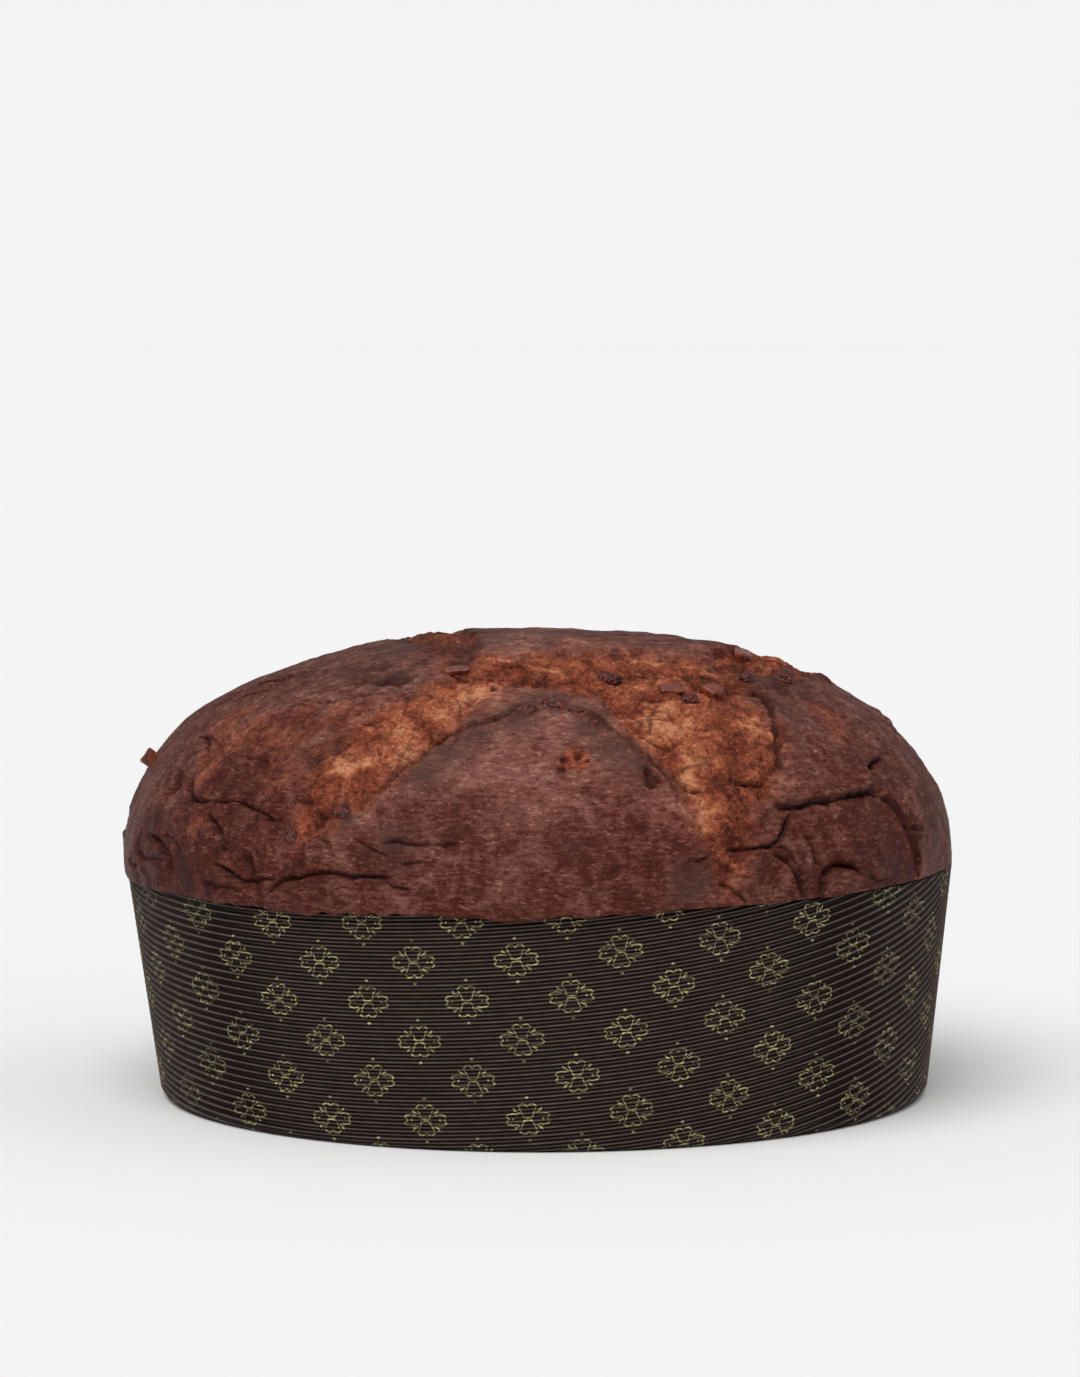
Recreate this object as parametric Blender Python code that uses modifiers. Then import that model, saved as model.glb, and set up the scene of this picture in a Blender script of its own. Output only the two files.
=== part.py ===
"""Panettone: a low, round sweet loaf with a cross-cut crust, in the paper mould it was baked in.

Metres, +Z up. The origin is the centre of the mould's flat base, and -Y is the front.
A place on the crust is (azimuth, reach): azimuth in degrees from the front, growing towards +X,
and reach in millimetres along the dome from its top centre.
"""

import math

import bmesh
import bpy
import numpy as np
from mathutils import Matrix, Vector, noise

MM = 0.001

# Paper mould
BASE_RADIUS = 105.4 * MM
RIM_RADIUS = 113.2 * MM
RIM_HEIGHT = 62.3 * MM
RIM_SHIFT = -1.0 * MM  # the wall leans a little to the left
RIM_TILT = math.radians(0.7)  # the rim is higher on the right
PAPER = 1.2 * MM
BASE_ROUND = 2.6 * MM  # radius where the wall turns into the base
MOULD_SEGMENTS = 84

# Loaf
DOME_RADIUS = 113.7 * MM
DOME_DEEPER = 1.4 * MM  # the plan is longer from front to back by this much on each side
DOME_SHIFT = -1.6 * MM
DOME_FOOT = 64.5 * MM  # height of the widest ring
DOME_HEIGHT = 61.9 * MM  # from the widest ring to the top
DOME_POWER = 2.2  # 2 is an ellipse, more is squarer
WALL_GAP = 0.7 * MM  # between crumb and paper
RIM_GAP = 0.6 * MM
FLOOR_GAP = 0.3 * MM
LIP_LEAST = 0.6 * MM  # crust needs this much overhang to hang over the rim
LIP_MOST = 2.6 * MM
FOOT_RUN = 6.0 * MM  # grooves get shallower this far above the rim
FOOT_GROOVE = 0.2

# Fineness of the loaf before and after it is thinned out
LOAF_SEGMENTS = 300
DOME_RINGS = 84
LIP_RINGS = 3
WALL_RINGS = 6
FLOOR_RINGS = 4
LOAF_TRIANGLES = 7300

# The torn crumb between the four crust petals, as (azimuth, reach, half width) along each arm
TORN_ARMS = {
    "crown": [(-20, 54, 9), (0, 56, 13), (20, 60, 17), (38, 66, 17)],
    "front_left": [(-12, 62, 8), (-18, 76, 10), (-23, 92, 13), (-28, 106, 14), (-31, 117, 9), (-34, 126, 3)],
    "front_right": [(24, 70, 13), (29, 86, 23), (29, 100, 20), (27, 112, 13), (26, 124, 8), (25, 138, 4)],
    "back_left": [(-34, 40, 8), (-120, 34, 9), (-142, 66, 12), (-148, 96, 13), (-151, 120, 7), (-152, 134, 3)],
    "back_right": [
        (60, 62, 8), (80, 66, 9), (100, 69, 9), (130, 80, 12), (142, 100, 12), (146, 122, 6), (148, 136, 3),
    ],
}
TORN_SINK = 1.3 * MM
TORN_SWELL = 1.9 * MM  # the crumb swells up again in the middle of an arm
PETAL_LIP = 1.1 * MM
PETAL_LIP_RUN = 7.0 * MM

# Folds of the crust: the crust on the left of the path laps over what is on its right.
# name: (lip height, groove depth, groove half width, path)
FOLDS = {
    "right_pillow_top": (2.2, 2.8, 1.3, [(33, 119), (40, 119.5), (46, 119), (52, 118), (57, 119)]),
    "right_pillow_side": (1.4, 2.2, 1.2, [(56, 119), (59, 124), (60.5, 130), (61.5, 136), (62.5, 144)]),
    "right_pillow_notch": (0.4, 1.7, 1.1, [(60.5, 130), (63, 130.5), (66, 130)]),
    "right_petal_fork": (1.5, 2.4, 1.3, [(53.5, 118.5), (56, 113), (59.5, 110), (66, 108.5)]),
    "right_petal_edge": (1.5, 1.6, 1.1, [(51, 74), (48, 84), (43.5, 94), (40.5, 102), (38.5, 110)]),
    "right_arm_foot": (1.0, 2.0, 1.1, [(37, 121), (35, 125), (33.5, 129), (30, 130.3), (25, 130)]),
    "right_low_fold": (0.9, 1.4, 1.0, [(32, 131), (34.5, 134.5), (36, 139), (37.5, 145)]),
    "right_foot_fold": (0.6, 1.2, 1.0, [(24, 138), (26.5, 141), (29, 146)]),
    "arch_top": (1.5, 4.0, 1.6, [(47.5, 139.5), (46, 137.6), (44, 136.8), (42, 137.4), (40.6, 140)]),
    "arch_tail": (0.9, 1.8, 1.1, [(40.6, 139), (40, 143), (40, 146)]),
    "front_petal_left": (1.6, 1.7, 1.1, [(-24, 115), (-20, 105), (-16, 95), (-9, 87), (-2, 80)]),
    "front_petal_right": (0.9, 1.0, 1.1, [(7, 80), (12, 90), (15, 99), (19, 108), (22, 119)]),
    "front_crack": (0.5, 1.2, 0.9, [(-21.5, 128.3), (-19, 127), (-16.5, 127.6), (-13, 127.2), (-10, 126)]),
    "left_hem": (1.5, 2.1, 1.2, [(-18, 136.5), (-22.5, 136.5), (-28, 136), (-33, 138), (-36, 139.5), (-39, 144)]),
    "left_hem_tail": (1.0, 1.6, 1.1, [(-38.5, 140), (-41.5, 140), (-44.5, 138.5), (-48, 136)]),
    "left_hem_tuck": (0.8, 1.6, 1.2, [(-42, 142.5), (-46.5, 142), (-51, 142)]),
    "left_shelf": (1.5, 2.0, 1.2, [(-36, 123.5), (-39, 123), (-42.5, 121.5), (-47, 119.8), (-53, 120.5)]),
    "left_hook": (1.0, 2.0, 1.2, [(-52, 120.5), (-56, 121.5), (-58, 118.5), (-60, 115)]),
    "left_slash": (0.7, 1.6, 1.2, [(-46, 133), (-48.5, 127.5), (-52, 124)]),
    "left_corner": (0.9, 1.8, 1.2, [(-58, 141), (-59, 136), (-62, 133.5), (-68, 132)]),
    "left_corner_low": (0.8, 1.5, 1.1, [(-60, 137), (-65, 138), (-70, 138)]),
    "left_seam": (0.7, 1.1, 1.0, [(-27, 135), (-28.5, 129), (-33, 126)]),
    "left_petal_lip": (1.8, 2.2, 1.3, [(-19, 70), (-24, 77), (-33, 79), (-39, 81), (-44, 85), (-51, 87)]),
    "left_petal_slit": (0.7, 1.8, 1.2, [(-41, 93), (-44.5, 96)]),
    "left_flake": (1.4, 1.7, 1.2, [(-35, 98), (-38, 104), (-41, 109)]),
    "left_petal_crease": (0.6, 1.1, 1.1, [(-43, 108), (-47, 106.5), (-52, 106)]),
    "left_high_crease": (0.7, 1.6, 1.1, [(-60, 107), (-63, 103.5), (-69, 102)]),
    "top_petal_lip": (0.6, 1.4, 1.3, [(62, 46), (40, 39), (10, 33), (-25, 36), (-50, 46)]),
    "crown_step": (1.0, 1.2, 1.3, [(-22, 40), (-27, 50), (-22, 60), (-14, 66)]),
    "back_left_hem": (1.4, 2.1, 1.2, [(-88, 137), (-98, 134), (-108, 136), (-118, 139)]),
    "back_left_shelf": (1.5, 2.1, 1.2, [(-95, 112), (-105, 116), (-116, 114), (-126, 118)]),
    "back_left_petal_edge": (1.4, 2.0, 1.3, [(-128, 66), (-134, 82), (-138, 98), (-142, 112)]),
    "back_petal_left": (1.4, 1.8, 1.3, [(-170, 80), (-164, 94), (-160, 108), (-157, 122)]),
    "back_petal_right": (1.5, 1.9, 1.3, [(157, 120), (154, 106), (158, 92), (167, 78)]),
    "back_right_pillow": (2.0, 2.6, 1.3, [(100, 122), (108, 119), (118, 120), (127, 124)]),
    "back_right_side": (1.2, 1.9, 1.2, [(127, 124), (130, 131), (131, 140)]),
    "back_right_shoulder": (1.2, 2.0, 1.4, [(84, 104), (92, 100), (101, 103)]),
    "back_foot": (1.0, 1.8, 1.2, [(166, 132), (174, 129), (184, 131), (192, 136)]),
}
FOLD_RUN = 5.0 * MM  # how far back from the fold its lip reaches

# Swellings and hollows: (azimuth, reach, radius, height)
SWELLINGS = [
    (46, 129, 15, 1.6),
    (52, 104, 20, 1.0),
    (76, 139, 7, 1.2),
    (68, 119, 12, 0.5),
    (63, 125, 7, 0.6),
    (27, 143, 7, 0.9),
    (-33, 98, 15, 1.4),
    (-39, 114, 8, 1.2),
    (-30, 112, 9, 1.2),
    (-66, 127, 14, 0.8),
    (-52, 131, 10, 1.0),
    (-72, 139, 9, 1.0),
    (-30, 131, 11, 1.0),
    (-60, 92, 20, 0.9),
    (-84, 88, 18, 0.7),
    (30, 82, 9, 1.4),
    (37, 100, 9, 1.1),
    (74, 54, 15, 2.2),
    (20, 30, 16, 1.0),
    (62, 92, 16, -1.4),
    (2, 122, 26, 1.0),
    (-116, 128, 16, 2.0),
    (-96, 104, 18, 1.2),
    (178, 112, 28, 1.2),
    (114, 130, 15, 2.2),
    (92, 118, 15, 0.3),
    (146, 96, 9, 1.2),
    (100, 50, 17, 0.5),
    (100, 76, 15, 0.6),
    (-100, 44, 17, -1.1),
    (-146, 96, 9, 1.4),
]

# Pits where a bubble burst or a piece of fruit fell out: (azimuth, reach, radius, depth)
PITS = [
    (5, 104.5, 5.0, 1.5),
    (16.6, 109.5, 2.6, 2.6),
    (-33, 66, 3.4, 2.6),
    (-38, 66, 3.0, 2.0),
    (-38, 78, 2.4, 1.8),
    (-41.5, 135.5, 2.6, 2.0),
    (-63, 117.5, 2.6, 1.6),
    (49.5, 78.5, 3.0, 2.4),
    (-24.5, 47, 3.0, 2.0),
    (120, 92, 3.4, 2.0),
    (-128, 106, 3.2, 2.0),
]

# Fruit that shows at the crust: (name, azimuth, reach, length, width, height, turn, rise above the crust)
RAISINS = [
    ("raisin_tip", -2.0, 81.5, 8.0, 6.0, 5.0, 10, 1.6),
    ("raisin_tip_dark", 3.4, 78.6, 8.5, 6.0, 5.0, -20, 1.7),
    ("raisin_tip_right", 7.2, 82.0, 6.0, 4.6, 4.2, 30, 1.3),
    ("raisin_edge", 10.0, 88.0, 5.5, 4.4, 4.0, 70, 1.3),
    ("raisin_crown", 17.5, 64.0, 8.5, 5.5, 4.6, 5, 1.6),
    ("raisin_slope", 30.2, 80.5, 6.5, 5.5, 4.8, 40, 1.8),
    ("raisin_shoulder", 66.0, 73.0, 8.0, 6.0, 5.2, 60, 2.4),
    ("raisin_petal", 54.5, 70.0, 7.0, 5.0, 4.6, 20, 1.6),
    ("raisin_high_left", -25.0, 50.0, 6.5, 4.6, 4.2, -30, 1.2),
    ("raisin_low_left", -35.0, 127.0, 7.0, 5.4, 4.4, -60, 1.3),
    ("raisin_far_left", -64.5, 114.0, 6.5, 5.0, 4.4, 80, 1.3),
    ("raisin_skin_left", -28.0, 119.5, 8.0, 5.0, 4.0, -35, 0.9),
    ("raisin_ridge_right", 77.0, 71.0, 8.5, 6.0, 5.0, 10, 2.2),
    ("raisin_back_left", -132.0, 84.0, 8.0, 6.0, 5.0, 15, 1.8),
    ("raisin_back", 172.0, 70.0, 7.5, 5.6, 4.8, 45, 1.7),
    ("raisin_back_right", 138.0, 88.0, 8.0, 6.0, 5.0, -25, 1.8),
]
PEEL_CUBES = [
    ("peel_standing", 36.6, 78.0, 6.0, 5.0, 6.4, 15, 2.9),
    ("peel_block", 28.0, 75.0, 7.0, 4.6, 4.4, -10, 1.5),
    ("peel_flake", -21.5, 57.5, 7.5, 4.6, 3.2, 15, 1.1),
    ("peel_shoulder", 70.0, 59.0, 8.5, 5.0, 5.0, 20, 2.2),
    ("peel_left_edge", -87.0, 114.5, 7.5, 5.0, 6.0, 5, 3.2),
    ("peel_back_left", -148.0, 92.0, 7.0, 5.0, 5.0, 40, 2.0),
    ("peel_back_right", 128.0, 72.0, 7.5, 5.0, 5.0, 70, 2.0),
]
POCKET_GAP = 0.35 * MM

COLOURS = {
    "crust": ((0.12, 0.035, 0.016, 1.0), 0.62),
    "paper": ((0.022, 0.014, 0.012, 1.0), 0.5),
    "raisin": ((0.03, 0.009, 0.007, 1.0), 0.4),
    "peel": ((0.3, 0.07, 0.012, 1.0), 0.3),
}


def clear_scene():
    for obj in list(bpy.data.objects):
        bpy.data.objects.remove(obj)


def new_collection(name):
    collection = bpy.data.collections.new(name)
    bpy.context.scene.collection.children.link(collection)
    return collection


def make_material(name):
    colour, roughness = COLOURS[name]
    material = bpy.data.materials.new(name)
    material.use_nodes = True
    shader = material.node_tree.nodes["Principled BSDF"]
    shader.inputs["Base Color"].default_value = colour
    shader.inputs["Roughness"].default_value = roughness
    shader.inputs["Metallic"].default_value = 0.0
    return material


def add_object(name, mesh, collection, material=None):
    obj = bpy.data.objects.new(name, mesh)
    collection.objects.link(obj)
    if material is not None:
        mesh.materials.clear()
        mesh.materials.append(material)
    return obj


def smoothstep(x):
    x = np.clip(x, 0.0, 1.0)
    return x * x * (3.0 - 2.0 * x)


def dome_table(samples=1500):
    """Reach, radius and height along the plain dome, from its top to its widest ring."""
    turn = np.linspace(0.0, math.pi / 2, samples)
    radius = DOME_RADIUS * np.sin(turn) ** (2.0 / DOME_POWER)
    height = DOME_HEIGHT * np.cos(turn) ** (2.0 / DOME_POWER)
    steps = np.hypot(np.diff(radius), np.diff(height))
    return np.concatenate([[0.0], np.cumsum(steps)]), radius, height


REACHES, RADII, HEIGHTS = dome_table()
FULL_REACH = REACHES[-1]


def dome_point(azimuth, reach):
    """Point and outward normal of the plain dome, for arrays in radians and metres."""
    radius = np.interp(reach, REACHES, RADII)
    height = np.interp(reach, REACHES, HEIGHTS)
    step = 0.4 * MM
    ahead = np.minimum(reach + step, FULL_REACH)
    behind = np.maximum(reach - step, 0.0)
    d_radius = np.interp(ahead, REACHES, RADII) - np.interp(behind, REACHES, RADII)
    d_height = np.interp(ahead, REACHES, HEIGHTS) - np.interp(behind, REACHES, HEIGHTS)
    length = np.hypot(d_radius, d_height)
    outward, upward = -d_height / length, d_radius / length
    deeper = DOME_DEEPER * np.cos(azimuth) ** 2 * radius / DOME_RADIUS
    sine, cosine = np.sin(azimuth), np.cos(azimuth)
    points = np.stack(
        [
            DOME_SHIFT + radius * sine,
            -(radius + deeper) * cosine,
            DOME_FOOT + height,
        ],
        axis=-1,
    )
    normals = np.stack([outward * sine, -outward * cosine, upward], axis=-1)
    return points, normals


def on_map(azimuth_deg, reach):
    """The crust laid flat: reach is the distance from the middle, azimuth the direction."""
    turn = np.radians(azimuth_deg)
    return np.stack([reach * np.sin(turn), -reach * np.cos(turn)], axis=-1)


def smooth_path(points, per_span=5):
    """A Catmull-Rom curve through rows of numbers."""
    rows = np.array(points, float)
    rows = np.vstack([2 * rows[0] - rows[1], rows, 2 * rows[-1] - rows[-2]])
    made = []
    for i in range(1, len(rows) - 2):
        before, start, end, after = rows[i - 1 : i + 3]
        for t in np.linspace(0.0, 1.0, per_span, endpoint=False):
            made.append(
                0.5
                * (
                    2 * start
                    + (end - before) * t
                    + (2 * before - 5 * start + 4 * end - after) * t**2
                    + (3 * start - before - 3 * end + after) * t**3
                )
            )
    made.append(rows[-2])
    return np.array(made)


def path_distance(places, path):
    """Distance to a path, the side (positive on its left), and how far along it, from 0 to 1."""
    best = np.full(len(places), 1e9)
    side = np.zeros(len(places))
    along = np.zeros(len(places))
    spans = len(path) - 1
    for i in range(spans):
        start, span = path[i], path[i + 1] - path[i]
        t = ((places - start) @ span) / (span @ span)
        held = np.clip(t, 0.0, 1.0)
        away = places - (start + held[:, None] * span)
        distance = np.hypot(away[:, 0], away[:, 1])
        closer = distance < best
        best[closer] = distance[closer]
        cross = span[0] * (places[:, 1] - start[1]) - span[1] * (places[:, 0] - start[0])
        side[closer] = np.sign(cross)[closer]
        along[closer] = ((i + held) / spans)[closer]
    return best, side, along


def torn_depth(places):
    """How far inside the torn crumb a place is, in metres; negative out on a petal."""
    inside = np.full(len(places), -1e9)
    for arm in TORN_ARMS.values():
        rows = np.array(arm, float)
        line = np.column_stack([on_map(rows[:, 0], rows[:, 1] * MM), rows[:, 2] * MM])
        line = smooth_path(line, 4)
        for start, end in zip(line[:-1], line[1:]):
            span = end[:2] - start[:2]
            t = np.clip(((places - start[:2]) @ span) / (span @ span), 0.0, 1.0)
            away = places - (start[:2] + t[:, None] * span)
            half = start[2] + t * (end[2] - start[2])
            inside = np.maximum(inside, half - np.hypot(away[:, 0], away[:, 1]))
    return inside


def crust_relief(azimuth, reach):
    """Height of the crust above the plain dome, in metres."""
    places = on_map(np.degrees(azimuth), reach)
    inside = torn_depth(places)
    edge = 1.6 * MM
    torn = smoothstep((inside + edge) / (2 * edge))
    middle = smoothstep(inside / (12 * MM))
    relief = torn * (TORN_SWELL * middle - TORN_SINK)
    lip = np.exp(-np.maximum(-inside, 0.0) / PETAL_LIP_RUN)
    relief += (1.0 - torn) * PETAL_LIP * lip
    for lip_mm, groove_mm, width_mm, points in FOLDS.values():
        rows = smooth_path(points)
        path = on_map(rows[:, 0], rows[:, 1] * MM)
        distance, side, along = path_distance(places, path)
        fade = smoothstep(np.minimum(along, 1.0 - along) * 5.0 + 0.12)
        over = np.where(side > 0, np.exp(-distance / FOLD_RUN), 0.0)
        groove = np.exp(-((distance / (width_mm * MM)) ** 2))
        relief += fade * (lip_mm * MM * over * (1.0 - groove) - groove_mm * MM * groove)
    for azimuth_deg, reach_mm, radius_mm, height_mm in SWELLINGS:
        away = places - on_map(azimuth_deg, reach_mm * MM)
        relief += height_mm * MM * np.exp(-(away**2).sum(axis=1) / (radius_mm * MM) ** 2)
    for azimuth_deg, reach_mm, radius_mm, depth_mm in PITS:
        away = places - on_map(azimuth_deg, reach_mm * MM)
        relief -= depth_mm * MM * np.exp(-(((away**2).sum(axis=1) / (radius_mm * MM) ** 2) ** 2))
    above_foot = smoothstep((FULL_REACH - reach) / FOOT_RUN)
    relief = np.where(relief < 0.0, relief * (FOOT_GROOVE + (1.0 - FOOT_GROOVE) * above_foot), relief)
    return relief * smoothstep(reach / (6 * MM))


def lumps(points, size, seed):
    """Smooth noise, -1 to 1, with lumps of the given size."""
    offset = Vector((seed, 2.0 * seed, 3.0 * seed))
    return np.array([noise.noise(Vector(p) / size + offset) for p in points])


def mould_wall(height):
    """Radius of the paper's outer face at a height."""
    return BASE_RADIUS + (RIM_RADIUS - BASE_RADIUS) * height / RIM_HEIGHT


def lean(points):
    """Moves points of an upright mould on to the real one, whose wall leans and whose rim is tilted."""
    share = points[:, 2] / RIM_HEIGHT
    moved = points.copy()
    moved[:, 2] += math.tan(RIM_TILT) * points[:, 0] * share
    moved[:, 0] += RIM_SHIFT * share
    return moved


def make_mould(collection, material):
    """The paper case: a turned wall and base of one thickness, open at the top."""
    corner = [
        (
            BASE_RADIUS - BASE_ROUND + BASE_ROUND * math.sin(turn),
            BASE_ROUND - BASE_ROUND * math.cos(turn),
        )
        for turn in np.radians([0, 30, 60, 90])
    ]
    outer = [(0.0, 0.0), *corner]
    wall_heights = np.linspace(BASE_ROUND, RIM_HEIGHT, 3)[1:]
    outer += [(mould_wall(z), z) for z in wall_heights]
    inner = [(mould_wall(z) - PAPER, z) for z in wall_heights[::-1]]
    inner += [(r - PAPER, z + PAPER * (1 - z / BASE_ROUND)) for r, z in corner[::-1]]
    inner.append((0.0, PAPER))
    profile = inner[::-1] + outer[::-1]  # up the inside, over the rim and down the outside
    mesh = bpy.data.meshes.new("mould_profile")
    mesh.from_pydata(
        [(r, 0.0, z) for r, z in profile],
        [(i, i + 1) for i in range(len(profile) - 1)],
        [],
    )
    guide = add_object("mould_profile", mesh, collection)
    screw = guide.modifiers.new("turned", "SCREW")
    screw.steps = MOULD_SEGMENTS
    screw.render_steps = MOULD_SEGMENTS
    screw.use_merge_vertices = True
    screw.merge_threshold = 0.0001
    graph = bpy.context.evaluated_depsgraph_get()
    turned = bpy.data.meshes.new_from_object(guide.evaluated_get(graph))
    bpy.data.objects.remove(guide)
    points = np.array([v.co for v in turned.vertices])
    turned.vertices.foreach_set("co", lean(points).ravel())
    mould = add_object("mould", turned, collection, material)
    turned.shade_smooth()
    turned.set_sharp_from_angle(angle=math.radians(40))
    return mould


def rim_edge(azimuth):
    """Outer radius from the loaf's own axis, and height, of the paper's edge in each direction."""
    x = RIM_SHIFT - DOME_SHIFT
    across = x * np.sin(azimuth)
    radius = across + np.sqrt(RIM_RADIUS**2 - (x * np.cos(azimuth)) ** 2)
    height = RIM_HEIGHT + math.tan(RIM_TILT) * RIM_RADIUS * np.sin(azimuth)
    return radius, height


def lip_waves(azimuth):
    """The uneven lower edge of the crust, -1 to 1."""
    waves = ((9, 0.4, 0.35), (17, 1.3, 0.3), (31, 2.2, 0.25), (47, 0.7, 0.2))
    return sum(size * np.sin(count * azimuth + start) for count, start, size in waves)


def place_loaf_ring(ring, azimuth):
    """Where a vertex of the starting ball goes, from its ring, counted from the top, and its azimuth."""
    edge_radius, edge_height = rim_edge(azimuth)
    reach = np.minimum(ring / DOME_RINGS, 1.0) * FULL_REACH
    plain, normals = dome_point(azimuth, reach)
    relief = crust_relief(azimuth, reach)
    relief += 0.6 * MM * lumps(plain, 22 * MM, 3.0) * smoothstep(reach / (12 * MM))
    points = plain + normals * relief[:, None]

    sine, cosine = np.sin(azimuth), np.cos(azimuth)
    bulge = np.hypot(points[:, 0] - DOME_SHIFT, points[:, 1])
    widest = np.maximum(bulge, edge_radius - PAPER)
    overhang = widest - (edge_radius + RIM_GAP)
    hang = smoothstep((overhang - LIP_LEAST) / LIP_LEAST)
    drop = hang * LIP_MOST * (0.65 + 0.45 * lip_waves(azimuth)) + 0.15 * MM
    inner_lip = np.minimum(edge_radius + RIM_GAP, widest - 0.4 * MM)
    top = edge_height + RIM_GAP
    low = top - drop

    def put(radius, height, chosen):
        points[chosen, 0] = (DOME_SHIFT + radius * sine)[chosen]
        points[chosen, 1] = (-radius * cosine)[chosen]
        points[chosen, 2] = (height + 0.0 * radius)[chosen]

    step = ring - DOME_RINGS
    for i in range(1, LIP_RINGS + 1):
        turn = math.pi / 2 * i / LIP_RINGS
        inward = 1.0 - math.cos(turn)
        radius = widest + 0.6 * (inner_lip - widest) * inward
        put(radius, points[:, 2] + (low - points[:, 2]) * math.sin(turn), step == i)
    put(inner_lip, low, step == LIP_RINGS + 1)
    put(inner_lip, top, step == LIP_RINGS + 2)
    crumb = edge_radius - PAPER - WALL_GAP
    put(crumb, top, step == LIP_RINGS + 3)
    first = LIP_RINGS + 3
    floor = PAPER + FLOOR_GAP
    for i in range(1, WALL_RINGS + 1):
        share = i / WALL_RINGS
        height = top + (floor + BASE_ROUND - top) * share
        level = height / edge_height
        axis = RIM_SHIFT * level
        outer = mould_wall(np.minimum(level, 1.0) * RIM_HEIGHT)
        chosen = step == first + i
        points[chosen, 0] = (axis + (outer - PAPER - WALL_GAP) * sine)[chosen]
        points[chosen, 1] = (-(outer - PAPER - WALL_GAP) * cosine)[chosen]
        points[chosen, 2] = height[chosen]
    first += WALL_RINGS
    floor_radius = BASE_RADIUS - PAPER - WALL_GAP - BASE_ROUND
    for i in range(FLOOR_RINGS + 1):
        radius = floor_radius * (1.0 - i / FLOOR_RINGS)
        chosen = step == first + 1 + i
        points[chosen, 0] = (radius * sine)[chosen]
        points[chosen, 1] = (-radius * cosine)[chosen]
        points[chosen, 2] = floor
    return points


def make_loaf(collection, material, pockets):
    """The bread, from a ball whose rings are moved on to the loaf's outline, with its crust in relief."""
    rings = DOME_RINGS + LIP_RINGS + 3 + WALL_RINGS + FLOOR_RINGS + 1
    form = bmesh.new()
    bmesh.ops.create_uvsphere(form, u_segments=LOAF_SEGMENTS, v_segments=rings, radius=1.0)
    ball = np.array([v.co for v in form.verts])
    ring = np.round(np.arccos(np.clip(ball[:, 2], -1.0, 1.0)) / math.pi * rings)
    azimuth = np.arctan2(ball[:, 0], -ball[:, 1])
    for vertex, place in zip(form.verts, place_loaf_ring(ring, azimuth)):
        vertex.co = place
    mesh = bpy.data.meshes.new("loaf")
    form.to_mesh(mesh)
    form.free()
    loaf = add_object("loaf", mesh, collection, material)
    mesh.shade_smooth()
    quads = LOAF_SEGMENTS * (rings - 1)
    thinned = loaf.modifiers.new("thinned_out", "DECIMATE")
    thinned.ratio = LOAF_TRIANGLES / (2 * quads)
    cut = loaf.modifiers.new("fruit_pockets", "BOOLEAN")
    cut.operation = "DIFFERENCE"
    cut.operand_type = "COLLECTION"
    cut.collection = pockets
    cut.solver = "EXACT"
    return loaf


def crust_frame(azimuth_deg, reach_mm, turn_deg, sink):
    """The matrix that sets a piece on the crust, its own Z along the crust's normal."""
    azimuth = np.radians([azimuth_deg])
    reach = np.array([reach_mm * MM])
    point, normal = dome_point(azimuth, reach)
    height = crust_relief(azimuth, reach)[0]
    up = Vector(normal[0])
    across = Vector((math.cos(azimuth[0]), math.sin(azimuth[0]), 0.0))
    along = up.cross(across).normalized()
    turned = Matrix((across, along, up)).transposed() @ Matrix.Rotation(math.radians(turn_deg), 3, "Z")
    place = Vector(point[0]) + up * (height + sink)
    return Matrix.Translation(place) @ turned.to_4x4()


def place_fruit(form, row, grow):
    """Scales a unit form to the row's sizes and sets it in the crust, showing by the row's rise."""
    _, azimuth, reach, length, width, height, turn, rise = row
    sizes = [size * MM / 2 + grow for size in (length, width, height)]
    frame = crust_frame(azimuth, reach, turn, rise * MM - height * MM / 2)
    bmesh.ops.transform(form, matrix=frame @ Matrix.Diagonal((*sizes, 1.0)), verts=form.verts)


def raisin_form(seed):
    """A wrinkled ball of unit radius."""
    form = bmesh.new()
    bmesh.ops.create_icosphere(form, subdivisions=2, radius=1.0)
    for vertex in form.verts:
        wrinkle = noise.noise(vertex.co * 1.9 + Vector((seed, 0.0, 0.0)))
        vertex.co *= 0.93 + 0.16 * wrinkle
    return form


def peel_form(seed):
    """A rounded block of unit half width, with its corners pulled about a little."""
    form = bmesh.new()
    bmesh.ops.create_cube(form, size=1.9)
    bmesh.ops.bevel(form, geom=form.edges[:], offset=0.28, segments=1, affect="EDGES")
    for vertex in form.verts:
        vertex.co *= 0.95 + 0.12 * noise.noise(vertex.co * 1.3 + Vector((0.0, seed, 0.0)))
    return form


def make_fruit(rows, make_form, material, fruit, pockets):
    """A node for each piece of fruit, and the cutter of the pocket that it sits in."""
    for index, row in enumerate(rows):
        for name, grow, collection in (
            (row[0], 0.0, fruit),
            (row[0] + "_pocket", POCKET_GAP, pockets),
        ):
            form = make_form(1.7 * index + 0.5)
            place_fruit(form, row, grow)
            bmesh.ops.recalc_face_normals(form, faces=form.faces)
            mesh = bpy.data.meshes.new(name)
            form.to_mesh(mesh)
            form.free()
            piece = add_object(name, mesh, collection, material)
            mesh.shade_smooth()
            if collection is pockets:
                piece.hide_render = True
                piece.display_type = "WIRE"


def main():
    clear_scene()
    panettone = new_collection("panettone")
    pockets = new_collection("pocket_cutters")
    materials = {name: make_material(name) for name in COLOURS}
    make_fruit(RAISINS, raisin_form, materials["raisin"], panettone, pockets)
    make_fruit(PEEL_CUBES, peel_form, materials["peel"], panettone, pockets)
    make_loaf(panettone, materials["crust"], pockets)
    make_mould(panettone, materials["paper"])


main()
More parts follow.
